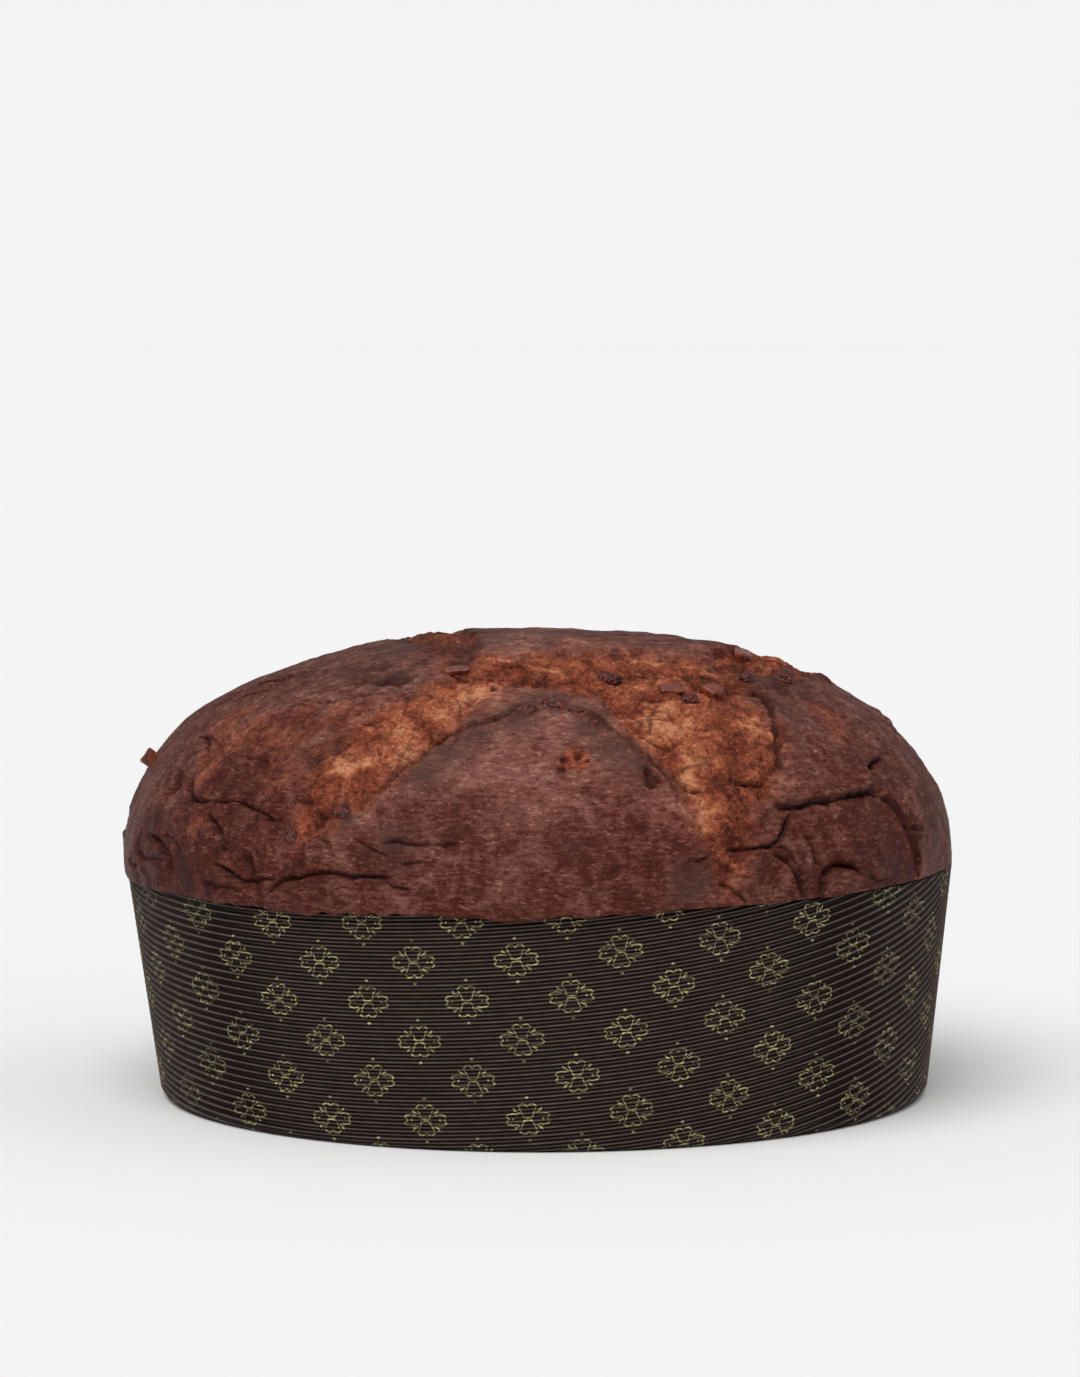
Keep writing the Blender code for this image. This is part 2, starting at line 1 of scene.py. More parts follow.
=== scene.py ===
# %% [markdown]
# # A panettone in its paper mould
#
# A panettone is a tall or low sweet bread, baked in a stiff paper mould that stays on it. This one is
# low and wide. Before baking, a cross is cut in the top, so the crust opens into four petals with torn
# crumb between them. This lesson makes the bread's crust, the ridged and printed paper, the raisins and
# the candied peel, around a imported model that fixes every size.

import math

import bpy
import numpy as np
from mathutils import Matrix, Vector, noise


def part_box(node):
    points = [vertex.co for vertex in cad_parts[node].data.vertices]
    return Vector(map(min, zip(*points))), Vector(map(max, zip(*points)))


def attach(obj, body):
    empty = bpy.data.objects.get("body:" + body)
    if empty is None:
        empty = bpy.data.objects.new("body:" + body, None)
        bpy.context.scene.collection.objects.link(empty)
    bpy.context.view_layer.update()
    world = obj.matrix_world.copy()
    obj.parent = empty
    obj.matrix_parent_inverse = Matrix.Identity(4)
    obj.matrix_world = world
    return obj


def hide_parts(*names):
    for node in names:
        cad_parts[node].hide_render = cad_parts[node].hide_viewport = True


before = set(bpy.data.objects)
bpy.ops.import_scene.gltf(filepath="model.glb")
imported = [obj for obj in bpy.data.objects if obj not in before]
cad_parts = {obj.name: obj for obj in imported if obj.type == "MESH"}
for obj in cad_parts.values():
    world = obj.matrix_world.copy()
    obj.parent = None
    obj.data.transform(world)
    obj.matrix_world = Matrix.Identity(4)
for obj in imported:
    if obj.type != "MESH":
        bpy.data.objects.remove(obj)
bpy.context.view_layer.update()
MM = 0.001

# %% [markdown]
# ## The camera
#
# The camera stands where the photograph's did. Its height and its lens come from the outline of the
# mould: the ellipse of the base gives the height, and the difference between the base's and the rim's
# ellipse gives the distance. A long lens from 1.4 m keeps the loaf almost free of perspective.

# %% The camera at the photograph's viewing angle
AIM = Vector((0.0, 0.0, 0.060))
CAMERA_DISTANCE = 1.40
CAMERA_ELEVATION = math.radians(6.85)
FOCAL_PIXELS = 5075.0
PICTURE_WIDTH, PICTURE_HEIGHT = 1080, 1377
AIM_PIXEL = (543.3, 871.5)  # where the photograph shows the point AIM
CAMERA_ROLL = math.radians(-0.13)
SENSOR_MM = 36.0


def add_camera():
    """Adds the camera. The loaf stands below the middle of the picture, so the view is tipped up a little."""
    back = Vector((0.0, -math.cos(CAMERA_ELEVATION), math.sin(CAMERA_ELEVATION)))
    tip_up = math.atan((AIM_PIXEL[1] - PICTURE_HEIGHT / 2) / FOCAL_PIXELS)
    turn_left = math.atan((AIM_PIXEL[0] - PICTURE_WIDTH / 2) / FOCAL_PIXELS)
    bpy.ops.object.camera_add(location=AIM + CAMERA_DISTANCE * back)
    camera = bpy.context.object
    camera.name = "camera"
    turn = Matrix.Rotation(turn_left, 3, "Z")
    turn = turn @ Matrix.Rotation(math.pi / 2 - CAMERA_ELEVATION + tip_up, 3, "X")
    turn = turn @ Matrix.Rotation(CAMERA_ROLL, 3, "Z")
    camera.rotation_euler = turn.to_euler()
    camera.data.sensor_width = SENSOR_MM
    camera.data.lens = FOCAL_PIXELS * SENSOR_MM / PICTURE_HEIGHT
    return camera


bpy.context.scene.camera = add_camera()
print("lens in mm:", round(bpy.context.scene.camera.data.lens, 1))

# %% [markdown]
# ## Small helpers
#
# Blender's operators act on whatever is selected, so each step starts by selecting nothing. A mesh's
# vertices move much faster as one array of numbers than one by one, so helpers read them into an array
# and write them back.

# %% Helpers for selecting and for moving vertices
def edit_mode():
    bpy.ops.object.mode_set(mode="EDIT")


def object_mode():
    bpy.ops.object.mode_set(mode="OBJECT")


def select_only(piece=None):
    if bpy.context.object and bpy.context.object.mode != "OBJECT":
        object_mode()
    bpy.ops.object.select_all(action="DESELECT")
    if piece:
        piece.select_set(True)
        bpy.context.view_layer.objects.active = piece


def named(name):
    piece = bpy.context.object
    piece.name = name
    piece.data.name = name
    return piece


def read_all(items, name, width=1, kind=float):
    """One array of a value that each vertex, edge or face has."""
    values = np.empty(len(items) * width, kind)
    items.foreach_get(name, values)
    return values.reshape(-1, width) if width > 1 else values


def read_points(piece):
    return read_all(piece.data.vertices, "co", 3)


def selected_vertices(piece):
    return read_all(piece.data.vertices, "select", kind=bool)


def write_points(piece, points):
    piece.data.vertices.foreach_set("co", np.ascontiguousarray(points, np.float64).ravel())
    piece.data.update()


def smoothstep(x):
    x = np.clip(x, 0.0, 1.0)
    return x * x * (3.0 - 2.0 * x)


def lumps(points, size, seed):
    """Smooth noise, about -1 to 1, with lumps of the given size. Each seed gives other lumps."""
    offset = Vector((seed, 2.0 * seed, 3.0 * seed))
    scale = 1.0 / size
    return np.array([noise.noise(Vector(p) * scale + offset) for p in points])


# %% [markdown]
# ## The plain dome
#
# Under all its detail the loaf is a dome, a little squarer than half an ellipsoid. A place on it is
# given the way a baker would point at it: a direction from the top, and how far to go along the crust.
# These two numbers stay true when the crust gets its relief, so every fold below is a short list of them.

# %% Sizes of the mould and the dome, and a table of the dome's outline
BASE_RADIUS = 105.4 * MM
RIM_RADIUS = 113.2 * MM
RIM_HEIGHT = 62.3 * MM
RIM_SHIFT = -1.0 * MM
RIM_TILT = math.radians(0.7)
PAPER = 1.2 * MM
BASE_ROUND = 2.6 * MM
DOME_RADIUS = 113.7 * MM
DOME_DEEPER = 1.4 * MM
DOME_SHIFT = -1.6 * MM
DOME_FOOT = 64.5 * MM
DOME_HEIGHT = 61.9 * MM
DOME_POWER = 2.2


def dome_table(samples=1500):
    """Reach, radius and height along the dome, from its top to its widest ring."""
    turn = np.linspace(0.0, math.pi / 2, samples)
    radius = DOME_RADIUS * np.sin(turn) ** (2.0 / DOME_POWER)
    height = DOME_HEIGHT * np.cos(turn) ** (2.0 / DOME_POWER)
    steps = np.hypot(np.diff(radius), np.diff(height))
    return np.concatenate([[0.0], np.cumsum(steps)]), radius, height


REACHES, RADII, HEIGHTS = dome_table()
FULL_REACH = REACHES[-1]
print("from the top to the widest ring:", round(FULL_REACH / MM, 1), "mm")


# %% A point and its outward direction on the dome
def dome_point(azimuth, reach):
    """Point and outward normal of the plain dome, for arrays in radians and metres."""
    radius = np.interp(reach, REACHES, RADII)
    height = np.interp(reach, REACHES, HEIGHTS)
    step = 0.4 * MM
    ahead = np.minimum(reach + step, FULL_REACH)
    behind = np.maximum(reach - step, 0.0)
    d_radius = np.interp(ahead, REACHES, RADII) - np.interp(behind, REACHES, RADII)
    d_height = np.interp(ahead, REACHES, HEIGHTS) - np.interp(behind, REACHES, HEIGHTS)
    length = np.hypot(d_radius, d_height)
    outward, upward = -d_height / length, d_radius / length
    deeper = DOME_DEEPER * np.cos(azimuth) ** 2 * radius / DOME_RADIUS
    sine, cosine = np.sin(azimuth), np.cos(azimuth)
    points = np.stack([DOME_SHIFT + radius * sine, -(radius + deeper) * cosine, DOME_FOOT + height], axis=-1)
    normals = np.stack([outward * sine, -outward * cosine, upward], axis=-1)
    return points, normals


def on_map(azimuth_deg, reach):
    """The crust laid flat: reach is the distance from the middle, azimuth the direction."""
    turn = np.radians(azimuth_deg)
    return np.stack([reach * np.sin(turn), -reach * np.cos(turn)], axis=-1)


# %% [markdown]
# ## Where the crust opened, folded and pitted
#
# The cross cut tore open into arms of crumb. Each arm is a line of stations, with a half width at each.
# A fold is a path where one flap of crust laps over another: the crust on the left of the path stands
# proud, and a groove runs under it. A good way to model this in Blender would be to sculpt it; naming
# each fold instead keeps it possible to move one later.

# %% The torn arms
# stations along each arm: azimuth in degrees, reach and half width in mm
TORN_ARMS = {
    "crown": [(-20, 54, 9), (0, 56, 13), (20, 60, 17), (38, 66, 17)],
    "front_left": [
        (-12, 62, 8), (-18, 76, 10), (-23, 92, 13), (-28, 106, 14), (-31, 117, 9), (-34, 126, 3),
    ],
    "front_right": [(24, 70, 13), (29, 86, 23), (29, 100, 20), (27, 112, 13), (26, 124, 8), (25, 138, 4)],
    "back_left": [
        (-34, 40, 8), (-120, 34, 9), (-142, 66, 12), (-148, 96, 13), (-151, 120, 7), (-152, 134, 3),
    ],
    "back_right": [
        (60, 62, 8), (80, 66, 9), (100, 69, 9), (130, 80, 12), (142, 100, 12), (146, 122, 6), (148, 136, 3),
    ],
}
TORN_SINK = 1.3 * MM
TORN_SWELL = 1.9 * MM
PETAL_LIP = 1.1 * MM
PETAL_LIP_RUN = 7.0 * MM

# %% The folds
# lip height, groove depth and groove half width in mm, then a path of azimuths and reaches
FOLDS = {
    "right_pillow_top": (2.2, 2.8, 1.3, [(33, 119), (40, 119.5), (46, 119), (52, 118), (57, 119)]),
    "right_pillow_side": (1.4, 2.2, 1.2, [(56, 119), (59, 124), (60.5, 130), (61.5, 136), (62.5, 144)]),
    "right_pillow_notch": (0.4, 1.7, 1.1, [(60.5, 130), (63, 130.5), (66, 130)]),
    "right_petal_fork": (1.5, 2.4, 1.3, [(53.5, 118.5), (56, 113), (59.5, 110), (66, 108.5)]),
    "right_petal_edge": (1.5, 1.6, 1.1, [(51, 74), (48, 84), (43.5, 94), (40.5, 102), (38.5, 110)]),
    "right_arm_foot": (1.0, 2.0, 1.1, [(37, 121), (35, 125), (33.5, 129), (30, 130.3), (25, 130)]),
    "right_low_fold": (0.9, 1.4, 1.0, [(32, 131), (34.5, 134.5), (36, 139), (37.5, 145)]),
    "right_foot_fold": (0.6, 1.2, 1.0, [(24, 138), (26.5, 141), (29, 146)]),
    "arch_top": (1.5, 4.0, 1.6, [(47.5, 139.5), (46, 137.6), (44, 136.8), (42, 137.4), (40.6, 140)]),
    "arch_tail": (0.9, 1.8, 1.1, [(40.6, 139), (40, 143), (40, 146)]),
    "front_petal_left": (1.0, 1.1, 0.9, [(-24, 115), (-20, 105), (-16, 95), (-9, 87), (-2, 80)]),
    "front_petal_right": (0.9, 1.0, 1.1, [(7, 80), (12, 90), (15, 99), (19, 108), (22, 119)]),
    "front_crack": (0.5, 1.2, 0.9, [(-21.5, 128.3), (-19, 127), (-16.5, 127.6), (-13, 127.2), (-10, 126)]),
    "left_hem": (
        1.5, 2.1, 1.2, [(-18, 136.5), (-22.5, 136.5), (-28, 136), (-33, 138), (-36, 139.5), (-39, 144)],
    ),
    "left_hem_tail": (1.0, 1.6, 1.1, [(-38.5, 140), (-41.5, 140), (-44.5, 138.5), (-48, 136)]),
    "left_hem_tuck": (0.8, 1.6, 1.2, [(-42, 142.5), (-46.5, 142), (-51, 142)]),
    "left_shelf": (1.5, 2.0, 1.2, [(-36, 123.5), (-39, 123), (-42.5, 121.5), (-47, 119.8), (-53, 120.5)]),
    "left_hook": (1.0, 2.0, 1.2, [(-52, 120.5), (-56, 121.5), (-58, 118.5), (-60, 115)]),
    "left_slash": (0.7, 1.6, 1.2, [(-46, 133), (-48.5, 127.5), (-52, 124)]),
    "left_corner": (0.9, 1.8, 1.2, [(-58, 141), (-59, 136), (-62, 133.5), (-68, 132)]),
    "left_corner_low": (0.8, 1.5, 1.1, [(-60, 137), (-65, 138), (-70, 138)]),
    "left_seam": (0.7, 1.1, 1.0, [(-27, 135), (-28.5, 129), (-33, 126)]),
    "left_petal_lip": (1.8, 2.2, 1.3, [(-19, 70), (-24, 77), (-33, 79), (-39, 81), (-44, 85), (-51, 87)]),
    "left_petal_slit": (0.7, 1.8, 1.2, [(-41, 93), (-44.5, 96)]),
    "left_flake": (1.4, 1.7, 1.2, [(-35, 98), (-38, 104), (-41, 109)]),
    "left_petal_crease": (0.6, 1.1, 1.1, [(-43, 108), (-47, 106.5), (-52, 106)]),
    "left_high_crease": (0.7, 1.6, 1.1, [(-60, 107), (-63, 103.5), (-69, 102)]),
    "top_petal_lip": (0.6, 1.4, 1.3, [(62, 46), (40, 39), (10, 33), (-25, 36), (-50, 46)]),
    "crown_step": (1.0, 1.2, 1.3, [(-22, 40), (-27, 50), (-22, 60), (-14, 66)]),
    "back_left_hem": (1.4, 2.1, 1.2, [(-88, 137), (-98, 134), (-108, 136), (-118, 139)]),
    "back_left_shelf": (1.5, 2.1, 1.2, [(-95, 112), (-105, 116), (-116, 114), (-126, 118)]),
    "back_left_petal_edge": (1.4, 2.0, 1.3, [(-128, 66), (-134, 82), (-138, 98), (-142, 112)]),
    "back_petal_left": (1.4, 1.8, 1.3, [(-170, 80), (-164, 94), (-160, 108), (-157, 122)]),
    "back_petal_right": (1.5, 1.9, 1.3, [(157, 120), (154, 106), (158, 92), (167, 78)]),
    "back_right_pillow": (2.0, 2.6, 1.3, [(100, 122), (108, 119), (118, 120), (127, 124)]),
    "back_right_side": (1.2, 1.9, 1.2, [(127, 124), (130, 131), (131, 140)]),
    "back_right_shoulder": (1.2, 2.0, 1.4, [(84, 104), (92, 100), (101, 103)]),
    "back_foot": (1.0, 1.8, 1.2, [(166, 132), (174, 129), (184, 131), (192, 136)]),
}
FOLD_RUN = 5.0 * MM  # how far from the fold its lip still stands up

# %% The swellings, pits and knobs
# azimuth in degrees, then reach, radius and height in mm
SWELLINGS = [
    (46, 129, 15, 1.6), (52, 104, 20, 1.0), (76, 139, 7, 1.2), (68, 119, 12, 0.5), (63, 125, 7, 0.6),
    (27, 143, 7, 0.9), (-33, 98, 15, 1.4), (-39, 114, 8, 1.2), (-30, 112, 9, 1.2), (-66, 127, 14, 0.8),
    (-52, 131, 10, 1.0), (-72, 139, 9, 1.0), (-30, 131, 11, 1.0), (-60, 92, 20, 0.9), (-84, 88, 18, 0.7),
    (30, 82, 9, 1.4), (37, 100, 9, 1.1), (74, 54, 15, 2.2), (20, 30, 16, 1.0), (62, 92, 16, -1.4),
    (2, 122, 26, 1.0), (-116, 128, 16, 2.0), (-96, 104, 18, 1.2), (178, 112, 28, 1.2), (114, 130, 15, 2.2),
    (92, 118, 15, 0.3), (146, 96, 9, 1.2), (100, 50, 17, 0.5), (100, 76, 15, 0.6), (-100, 44, 17, -1.1),
    (-146, 96, 9, 1.4),
]
# azimuth, reach, radius, depth
PITS = [
    (5, 104.5, 5.0, 1.5), (16.6, 109.5, 2.6, 2.6), (-33, 66, 3.4, 2.6), (-38, 66, 3.0, 2.0),
    (-38, 78, 2.4, 1.8), (-41.5, 135.5, 2.6, 2.0), (-63, 117.5, 2.6, 1.6), (49.5, 78.5, 3.0, 2.4),
    (-24.5, 47, 3.0, 2.0), (120, 92, 3.4, 2.0), (-128, 106, 3.2, 2.0),
]
SMALL_PITS = [
    (4.2, 101.4, 1.3, 1.2), (6.2, 100.6, 1.1, 1.2), (3.8, 104.9, 1.2, 1.0), (16.5, 106.4, 1.5, 1.4),
    (7.6, 102.6, 0.8, 0.6), (5.0, 128.0, 1.6, 0.4), (21.3, 134.4, 1.4, 0.5), (-9.4, 69.4, 1.2, 0.9),
]
SHALLOW, SHARP = 0.35, 0.6  # depth over radius: a pit gets no painted shade below the first and full painted shade past the second
# small lumps and flakes that stand proud: azimuth, reach, radius, height
KNOBS = [
    (16.3, 102.0, 1.7, 0.9), (16.6, 103.4, 1.3, 0.7), (15.6, 96.2, 1.4, 0.8), (6.2, 63.5, 1.6, 0.9),
    (-9.4, 67.6, 1.5, 1.0), (37.9, 105.9, 1.3, 0.9), (-23.2, 49.6, 1.8, 0.9), (76.0, 62.0, 2.4, 1.2),
    (80.0, 66.0, 2.0, 1.1), (84.0, 74.0, 2.6, 1.2), (90.0, 80.0, 2.4, 1.0), (-36.0, 92.0, 2.0, 1.0),
    (34.0, 60.0, 2.2, 1.1), (12.0, 54.0, 2.0, 0.9), (44.0, 84.0, 1.8, 0.9), (8.6, 103.8, 1.1, 0.5),
]
# where the skin flaked off and paler crumb shows: azimuth, reach, radius
FLAKED = [(5.6, 102.8, 4.6), (16.3, 102.2, 1.4), (6.2, 63.5, 1.8), (-150, 118, 4.0), (112, 104, 4.4)]

# %% Where the fruit lies
# node, azimuth, reach, length, width and height in mm, turn in degrees
RAISINS = [
    ("raisin_tip", -2.0, 81.5, 8.0, 6.0, 5.0, 10),
    ("raisin_tip_dark", 3.4, 78.6, 8.5, 6.0, 5.0, -20),
    ("raisin_tip_right", 7.2, 82.0, 6.0, 4.6, 4.2, 30),
    ("raisin_edge", 10.0, 88.0, 5.5, 4.4, 4.0, 70),
    ("raisin_crown", 17.5, 64.0, 8.5, 5.5, 4.6, 5),
    ("raisin_slope", 30.2, 80.5, 6.5, 5.5, 4.8, 40),
    ("raisin_shoulder", 66.0, 73.0, 8.0, 6.0, 5.2, 60),
    ("raisin_petal", 54.5, 70.0, 7.0, 5.0, 4.6, 20),
    ("raisin_high_left", -25.0, 50.0, 6.5, 4.6, 4.2, -30),
    ("raisin_low_left", -35.0, 127.0, 7.0, 5.4, 4.4, -60),
    ("raisin_far_left", -64.5, 114.0, 6.5, 5.0, 4.4, 80),
    ("raisin_skin_left", -28.0, 119.5, 8.0, 5.0, 4.0, -35),
    ("raisin_ridge_right", 77.0, 71.0, 8.5, 6.0, 5.0, 10),
    ("raisin_back_left", -132.0, 84.0, 8.0, 6.0, 5.0, 15),
    ("raisin_back", 172.0, 70.0, 7.5, 5.6, 4.8, 45),
    ("raisin_back_right", 138.0, 88.0, 8.0, 6.0, 5.0, -25),
]
PEEL_CUBES = [
    ("peel_standing", 36.6, 78.0, 6.0, 5.0, 6.4, 15),
    ("peel_block", 28.0, 75.0, 7.0, 4.6, 4.4, -10),
    ("peel_flake", -21.5, 57.5, 7.5, 4.6, 3.2, 15),
    ("peel_shoulder", 70.0, 59.0, 8.5, 5.0, 5.0, 20),
    ("peel_left_edge", -87.0, 114.5, 7.5, 5.0, 6.0, 5),
    ("peel_back_left", -148.0, 92.0, 7.0, 5.0, 5.0, 40),
    ("peel_back_right", 128.0, 72.0, 7.5, 5.0, 5.0, 70),
]

# %% Smaller creases, as paths of azimuths and reaches
SMALL_CREASES = {
    "left_corner_nick": [(-74.4, 142.0), (-71.3, 141.2), (-68.7, 140.3)],
    "left_low_branch": [(-41.2, 135.7), (-40.4, 136.4), (-39.6, 137.8)],
    "left_foot_short": [(-39.6, 139.1), (-37.5, 138.6), (-36.3, 137.9)],
    "left_faint": [(-35.7, 119.3), (-35.6, 117.3), (-35.6, 115.8)],
    "left_pillow_seam": [(-52.0, 83.5), (-45.5, 85.4), (-40.6, 83.1), (-39.0, 79.7)],
    "left_pillow_top": [(-46.7, 76.4), (-45.3, 71.2), (-40.9, 67.1)],
    "left_brow": [(-74.4, 88.4), (-71.2, 83.3), (-65.8, 79.7)],
    "left_forehead": [(-70.4, 103.8), (-66.0, 101.7), (-61.5, 101.9), (-57.4, 104.2)],
    "left_pillow_under": [(-51.4, 82.3), (-48.3, 83.1), (-45.7, 83.1), (-43.0, 81.4), (-41.7, 78.5)],
    "left_band_high": [(-75.4, 80.2), (-74.8, 77.7), (-72.3, 75.8), (-72.3, 72.4), (-72.3, 68.8)],
    "left_foot_tuck": [(-61.7, 130.0), (-58.8, 131.3), (-56.8, 132.6), (-55.4, 134.2)],
    "hem_fork": [(-20.2, 136.5), (-18.6, 138.4), (-16.6, 138.6)],
    "hem_end": [(-17.9, 132.7), (-16.2, 132.0), (-14.3, 132.2)],
    "right_wrinkle_middle": [(37.1, 127.3), (38.8, 128.9), (39.3, 133.7), (39.7, 136.1)],
    "right_wrinkle_near": [(32.6, 129.6), (34.4, 131.1), (35.6, 134.7), (36.3, 138.8)],
    "right_slit": [(40.6, 103.2), (40.0, 106.0), (38.6, 108.3)],
    "right_side_slot": [(61.7, 131.9), (63.2, 132.8), (65.1, 132.5)],
    "arch_run": [(48.7, 139.1), (51.1, 141.2), (56.4, 143.2)],
    "front_nick": [(30.1, 110.8), (30.9, 111.6), (31.9, 112.0)],
    "front_low_nick": [(20.8, 132.5), (21.8, 132.3), (23.0, 131.6)],
    "petal_line_left": [(-25.3, 126.3), (-22.8, 128.0), (-19.8, 131.0)],
    "crown_strip": [(-7.3, 55.0), (-2.3, 58.1), (2.0, 61.1)],
    "crown_tear": [(7.5, 47.1), (14.1, 52.0), (17.1, 61.8)],
    "right_lump_edge": [(17.2, 92.4), (19.0, 96.7), (21.5, 98.5), (24.9, 97.2)],
    "right_lump_top": [(17.8, 82.3), (22.4, 78.5), (27.2, 80.1)],
    "arm_lump_low": [(20.8, 105.8), (20.4, 110.1), (21.9, 112.8), (24.4, 112.8)],
    "arm_fold_right": [(27.4, 108.5), (29.8, 111.4), (32.6, 112.5), (35.2, 112.2)],
}
SMALL_CREASE = (0.45, 1.2, 0.75)  # lip height, groove depth and half width in mm
# soft raised ridges where the skin puckered, with no groove beside them
SOFT_RIDGES = {
    "right_ridge_left": [(41.8, 121.5), (42.9, 125.5), (43.9, 129.7), (44.4, 133.0)],
    "right_ridge_right": [(48.4, 122.4), (46.7, 127.6), (44.9, 132.5)],
    "front_low_pucker": [(12.8, 130.8), (15.9, 132.9), (19.2, 132.7), (21.5, 130.8)],
    "right_low_pucker": [(50.0, 128.0), (51.5, 133.0), (54.0, 138.0)],
    "left_pucker": [(-44.0, 126.0), (-42.0, 130.0), (-43.0, 134.0)],
}
SOFT_RIDGE = (0.0, -0.55, 1.5)
CREASES = {
    **FOLDS,
    **{name: (*SMALL_CREASE, points) for name, points in SMALL_CREASES.items()},
    **{name: (*SOFT_RIDGE, points) for name, points in SOFT_RIDGES.items()},
}
print(len(CREASES), "folds and creases,", len(SWELLINGS), "swellings,", len(PITS), "pits")


# %% Measuring distances to paths on the crust
def smooth_path(points, per_span=5):
    """A Catmull-Rom curve through rows of numbers."""
    rows = np.array(points, float)
    rows = np.vstack([2 * rows[0] - rows[1], rows, 2 * rows[-1] - rows[-2]])
    made = []
    for i in range(1, len(rows) - 2):
        before, start, end, after = rows[i - 1 : i + 3]
        for t in np.linspace(0.0, 1.0, per_span, endpoint=False):
            line = 2 * start + (end - before) * t
            bend = (2 * before - 5 * start + 4 * end - after) * t**2
            twist = (3 * start - before - 3 * end + after) * t**3
            made.append(0.5 * (line + bend + twist))
    made.append(rows[-2])
    return np.array(made)


def path_distance(places, path):
    """Distance to a path, the side (positive on its left), and how far along it, from 0 to 1."""
    best = np.full(len(places), 1e9)
    side = np.zeros(len(places))
    along = np.zeros(len(places))
    spans = len(path) - 1
    for i in range(spans):
        start, span = path[i], path[i + 1] - path[i]
        held = np.clip(((places - start) @ span) / (span @ span), 0.0, 1.0)
        away = places - (start + held[:, None] * span)
        distance = np.hypot(away[:, 0], away[:, 1])
        closer = distance < best
        best[closer] = distance[closer]
        cross = span[0] * (places[:, 1] - start[1]) - span[1] * (places[:, 0] - start[0])
        side[closer] = np.sign(cross)[closer]
        along[closer] = ((i + held) / spans)[closer]
    return best, side, along


def torn_depth(places):
    """How far inside the torn crumb a place is, in metres; negative out on a petal."""
    inside = np.full(len(places), -1e9)
    for arm in TORN_ARMS.values():
        rows = np.array(arm, float)
        line = smooth_path(np.column_stack([on_map(rows[:, 0], rows[:, 1] * MM), rows[:, 2] * MM]), 4)
        for start, end in zip(line[:-1], line[1:]):
            span = end[:2] - start[:2]
            t = np.clip(((places - start[:2]) @ span) / (span @ span), 0.0, 1.0)
            away = places - (start[:2] + t[:, None] * span)
            half = start[2] + t * (end[2] - start[2])
            inside = np.maximum(inside, half - np.hypot(away[:, 0], away[:, 1]))
    return inside


# %% [markdown]
# ## The crust's relief
#
# The height of the crust above the plain dome is a sum: the named forms, and what would be tedious to
# name, such as a ragged edge on every petal, craggy crumb where the loaf tore, and leathery wrinkles on the
# flaps at the sides. The same functions also say how torn, brown and burnt each place is, and how much
# painted shade its creases and pits get, because the colours need to know.

# %% How brown each part of the crust is
# azimuth, tone: how brown each of the four petals is, from 0 (nearly black) to 1 (pale)
PETAL_TONES = [(0, 0.51), (-75, 0.35), (78, 0.35), (180, 0.42)]
TONE_SPREAD = 26.0  # degrees: how far a petal's tone reaches to either side
CRUMB_TONE = 0.52
LOW_START, LOW_RUN, LOW_DARKER = 104, 34, 0.16  # mm of reach: the crust is browner towards the paper
LOW_WIDTH = 62.0  # degrees: and most of all in front
# azimuth, reach, radius in mm: where the torn crumb is palest
WARM_PATCHES = [
    (22, 90, 12), (-12, 73, 10), (-17, 85, 9), (-22, 96, 10), (-29, 105, 8), (3, 55, 6),
    (49, 58, 8), (23, 107, 8), (23, 121, 6), (26, 140, 5), (40, 92, 9), (17, 74, 7), (-37, 107, 6),
    (-12, 47, 6), (25, 31, 8), (39, 50, 8), (-146, 84, 12), (-150, 108, 9),
    (138, 86, 12), (144, 110, 9), (100, 68, 8),
]
WARMTH = 0.30
# azimuth, reach, radius in mm: where the skin tore a little and crumb shows through it
FELTED = [
    (-45, 101, 9), (-40, 110, 6), (-52, 97, 7), (-36, 90, 6), (-58, 104, 6), (-47, 90, 5), (-57, 112, 5),
    (-64, 96, 6), (-53, 128, 4), (62, 92, 6), (58, 100, 5), (-157, 96, 7), (118, 92, 7),
]
FELT, FELT_TONE = 0.65, 0.5
# azimuth, reach, radius in mm: where the crust caught, and went grey
BURNT_PATCHES = [
    (-17, 107, 6), (-14, 100, 6), (-10, 92, 6), (-4, 85, 6), (2, 77, 6), (9, 89, 5), (12, 100, 6),
    (15, 105, 5), (-36, 104, 4), (-34, 100, 4), (-27, 122, 4), (-19, 128, 5), (-37, 64, 5), (-51, 65, 4),
    (-21, 54, 5), (-32, 38, 9), (-50, 36, 12), (-80, 34, 11), (-36, 28, 8), (33, 12, 10), (58, 70, 5),
    (48, 91, 4), (64, 75, 5), (5, 128, 2.2), (-100, 22, 12), (-120, 34, 12), (-138, 24, 10),
    (20, 139, 6), (-132, 78, 7), (158, 96, 8), (128, 82, 6), (-164, 100, 7),
]


def spot(places, azimuth_deg, reach_mm, radius_mm, power=1):
    """1 in the middle of a round spot, 0 far off it. A power of 2 gives a flat middle and a firm edge."""
    away = places - on_map(azimuth_deg, reach_mm * MM)
    return np.exp(-(((away**2).sum(axis=1) / (radius_mm * MM) ** 2) ** power))


def patches(places, rows):
    """0 to 1: how much a place lies in one of the round patches."""
    total = np.zeros(len(places))
    for row in rows:
        total = np.maximum(total, spot(places, *row))
    return total


def petal_tone(azimuth):
    """The browning of the nearest petal, changing smoothly from one petal to the next."""
    total, weights = 0.0, 1e-9
    for middle_deg, tone in PETAL_TONES:
        away = (np.degrees(azimuth) - middle_deg + 180.0) % 360.0 - 180.0
        weight = np.exp(-((away / TONE_SPREAD) ** 2)) + 1e-6
        total = total + weight * tone
        weights = weights + weight
    return total / weights


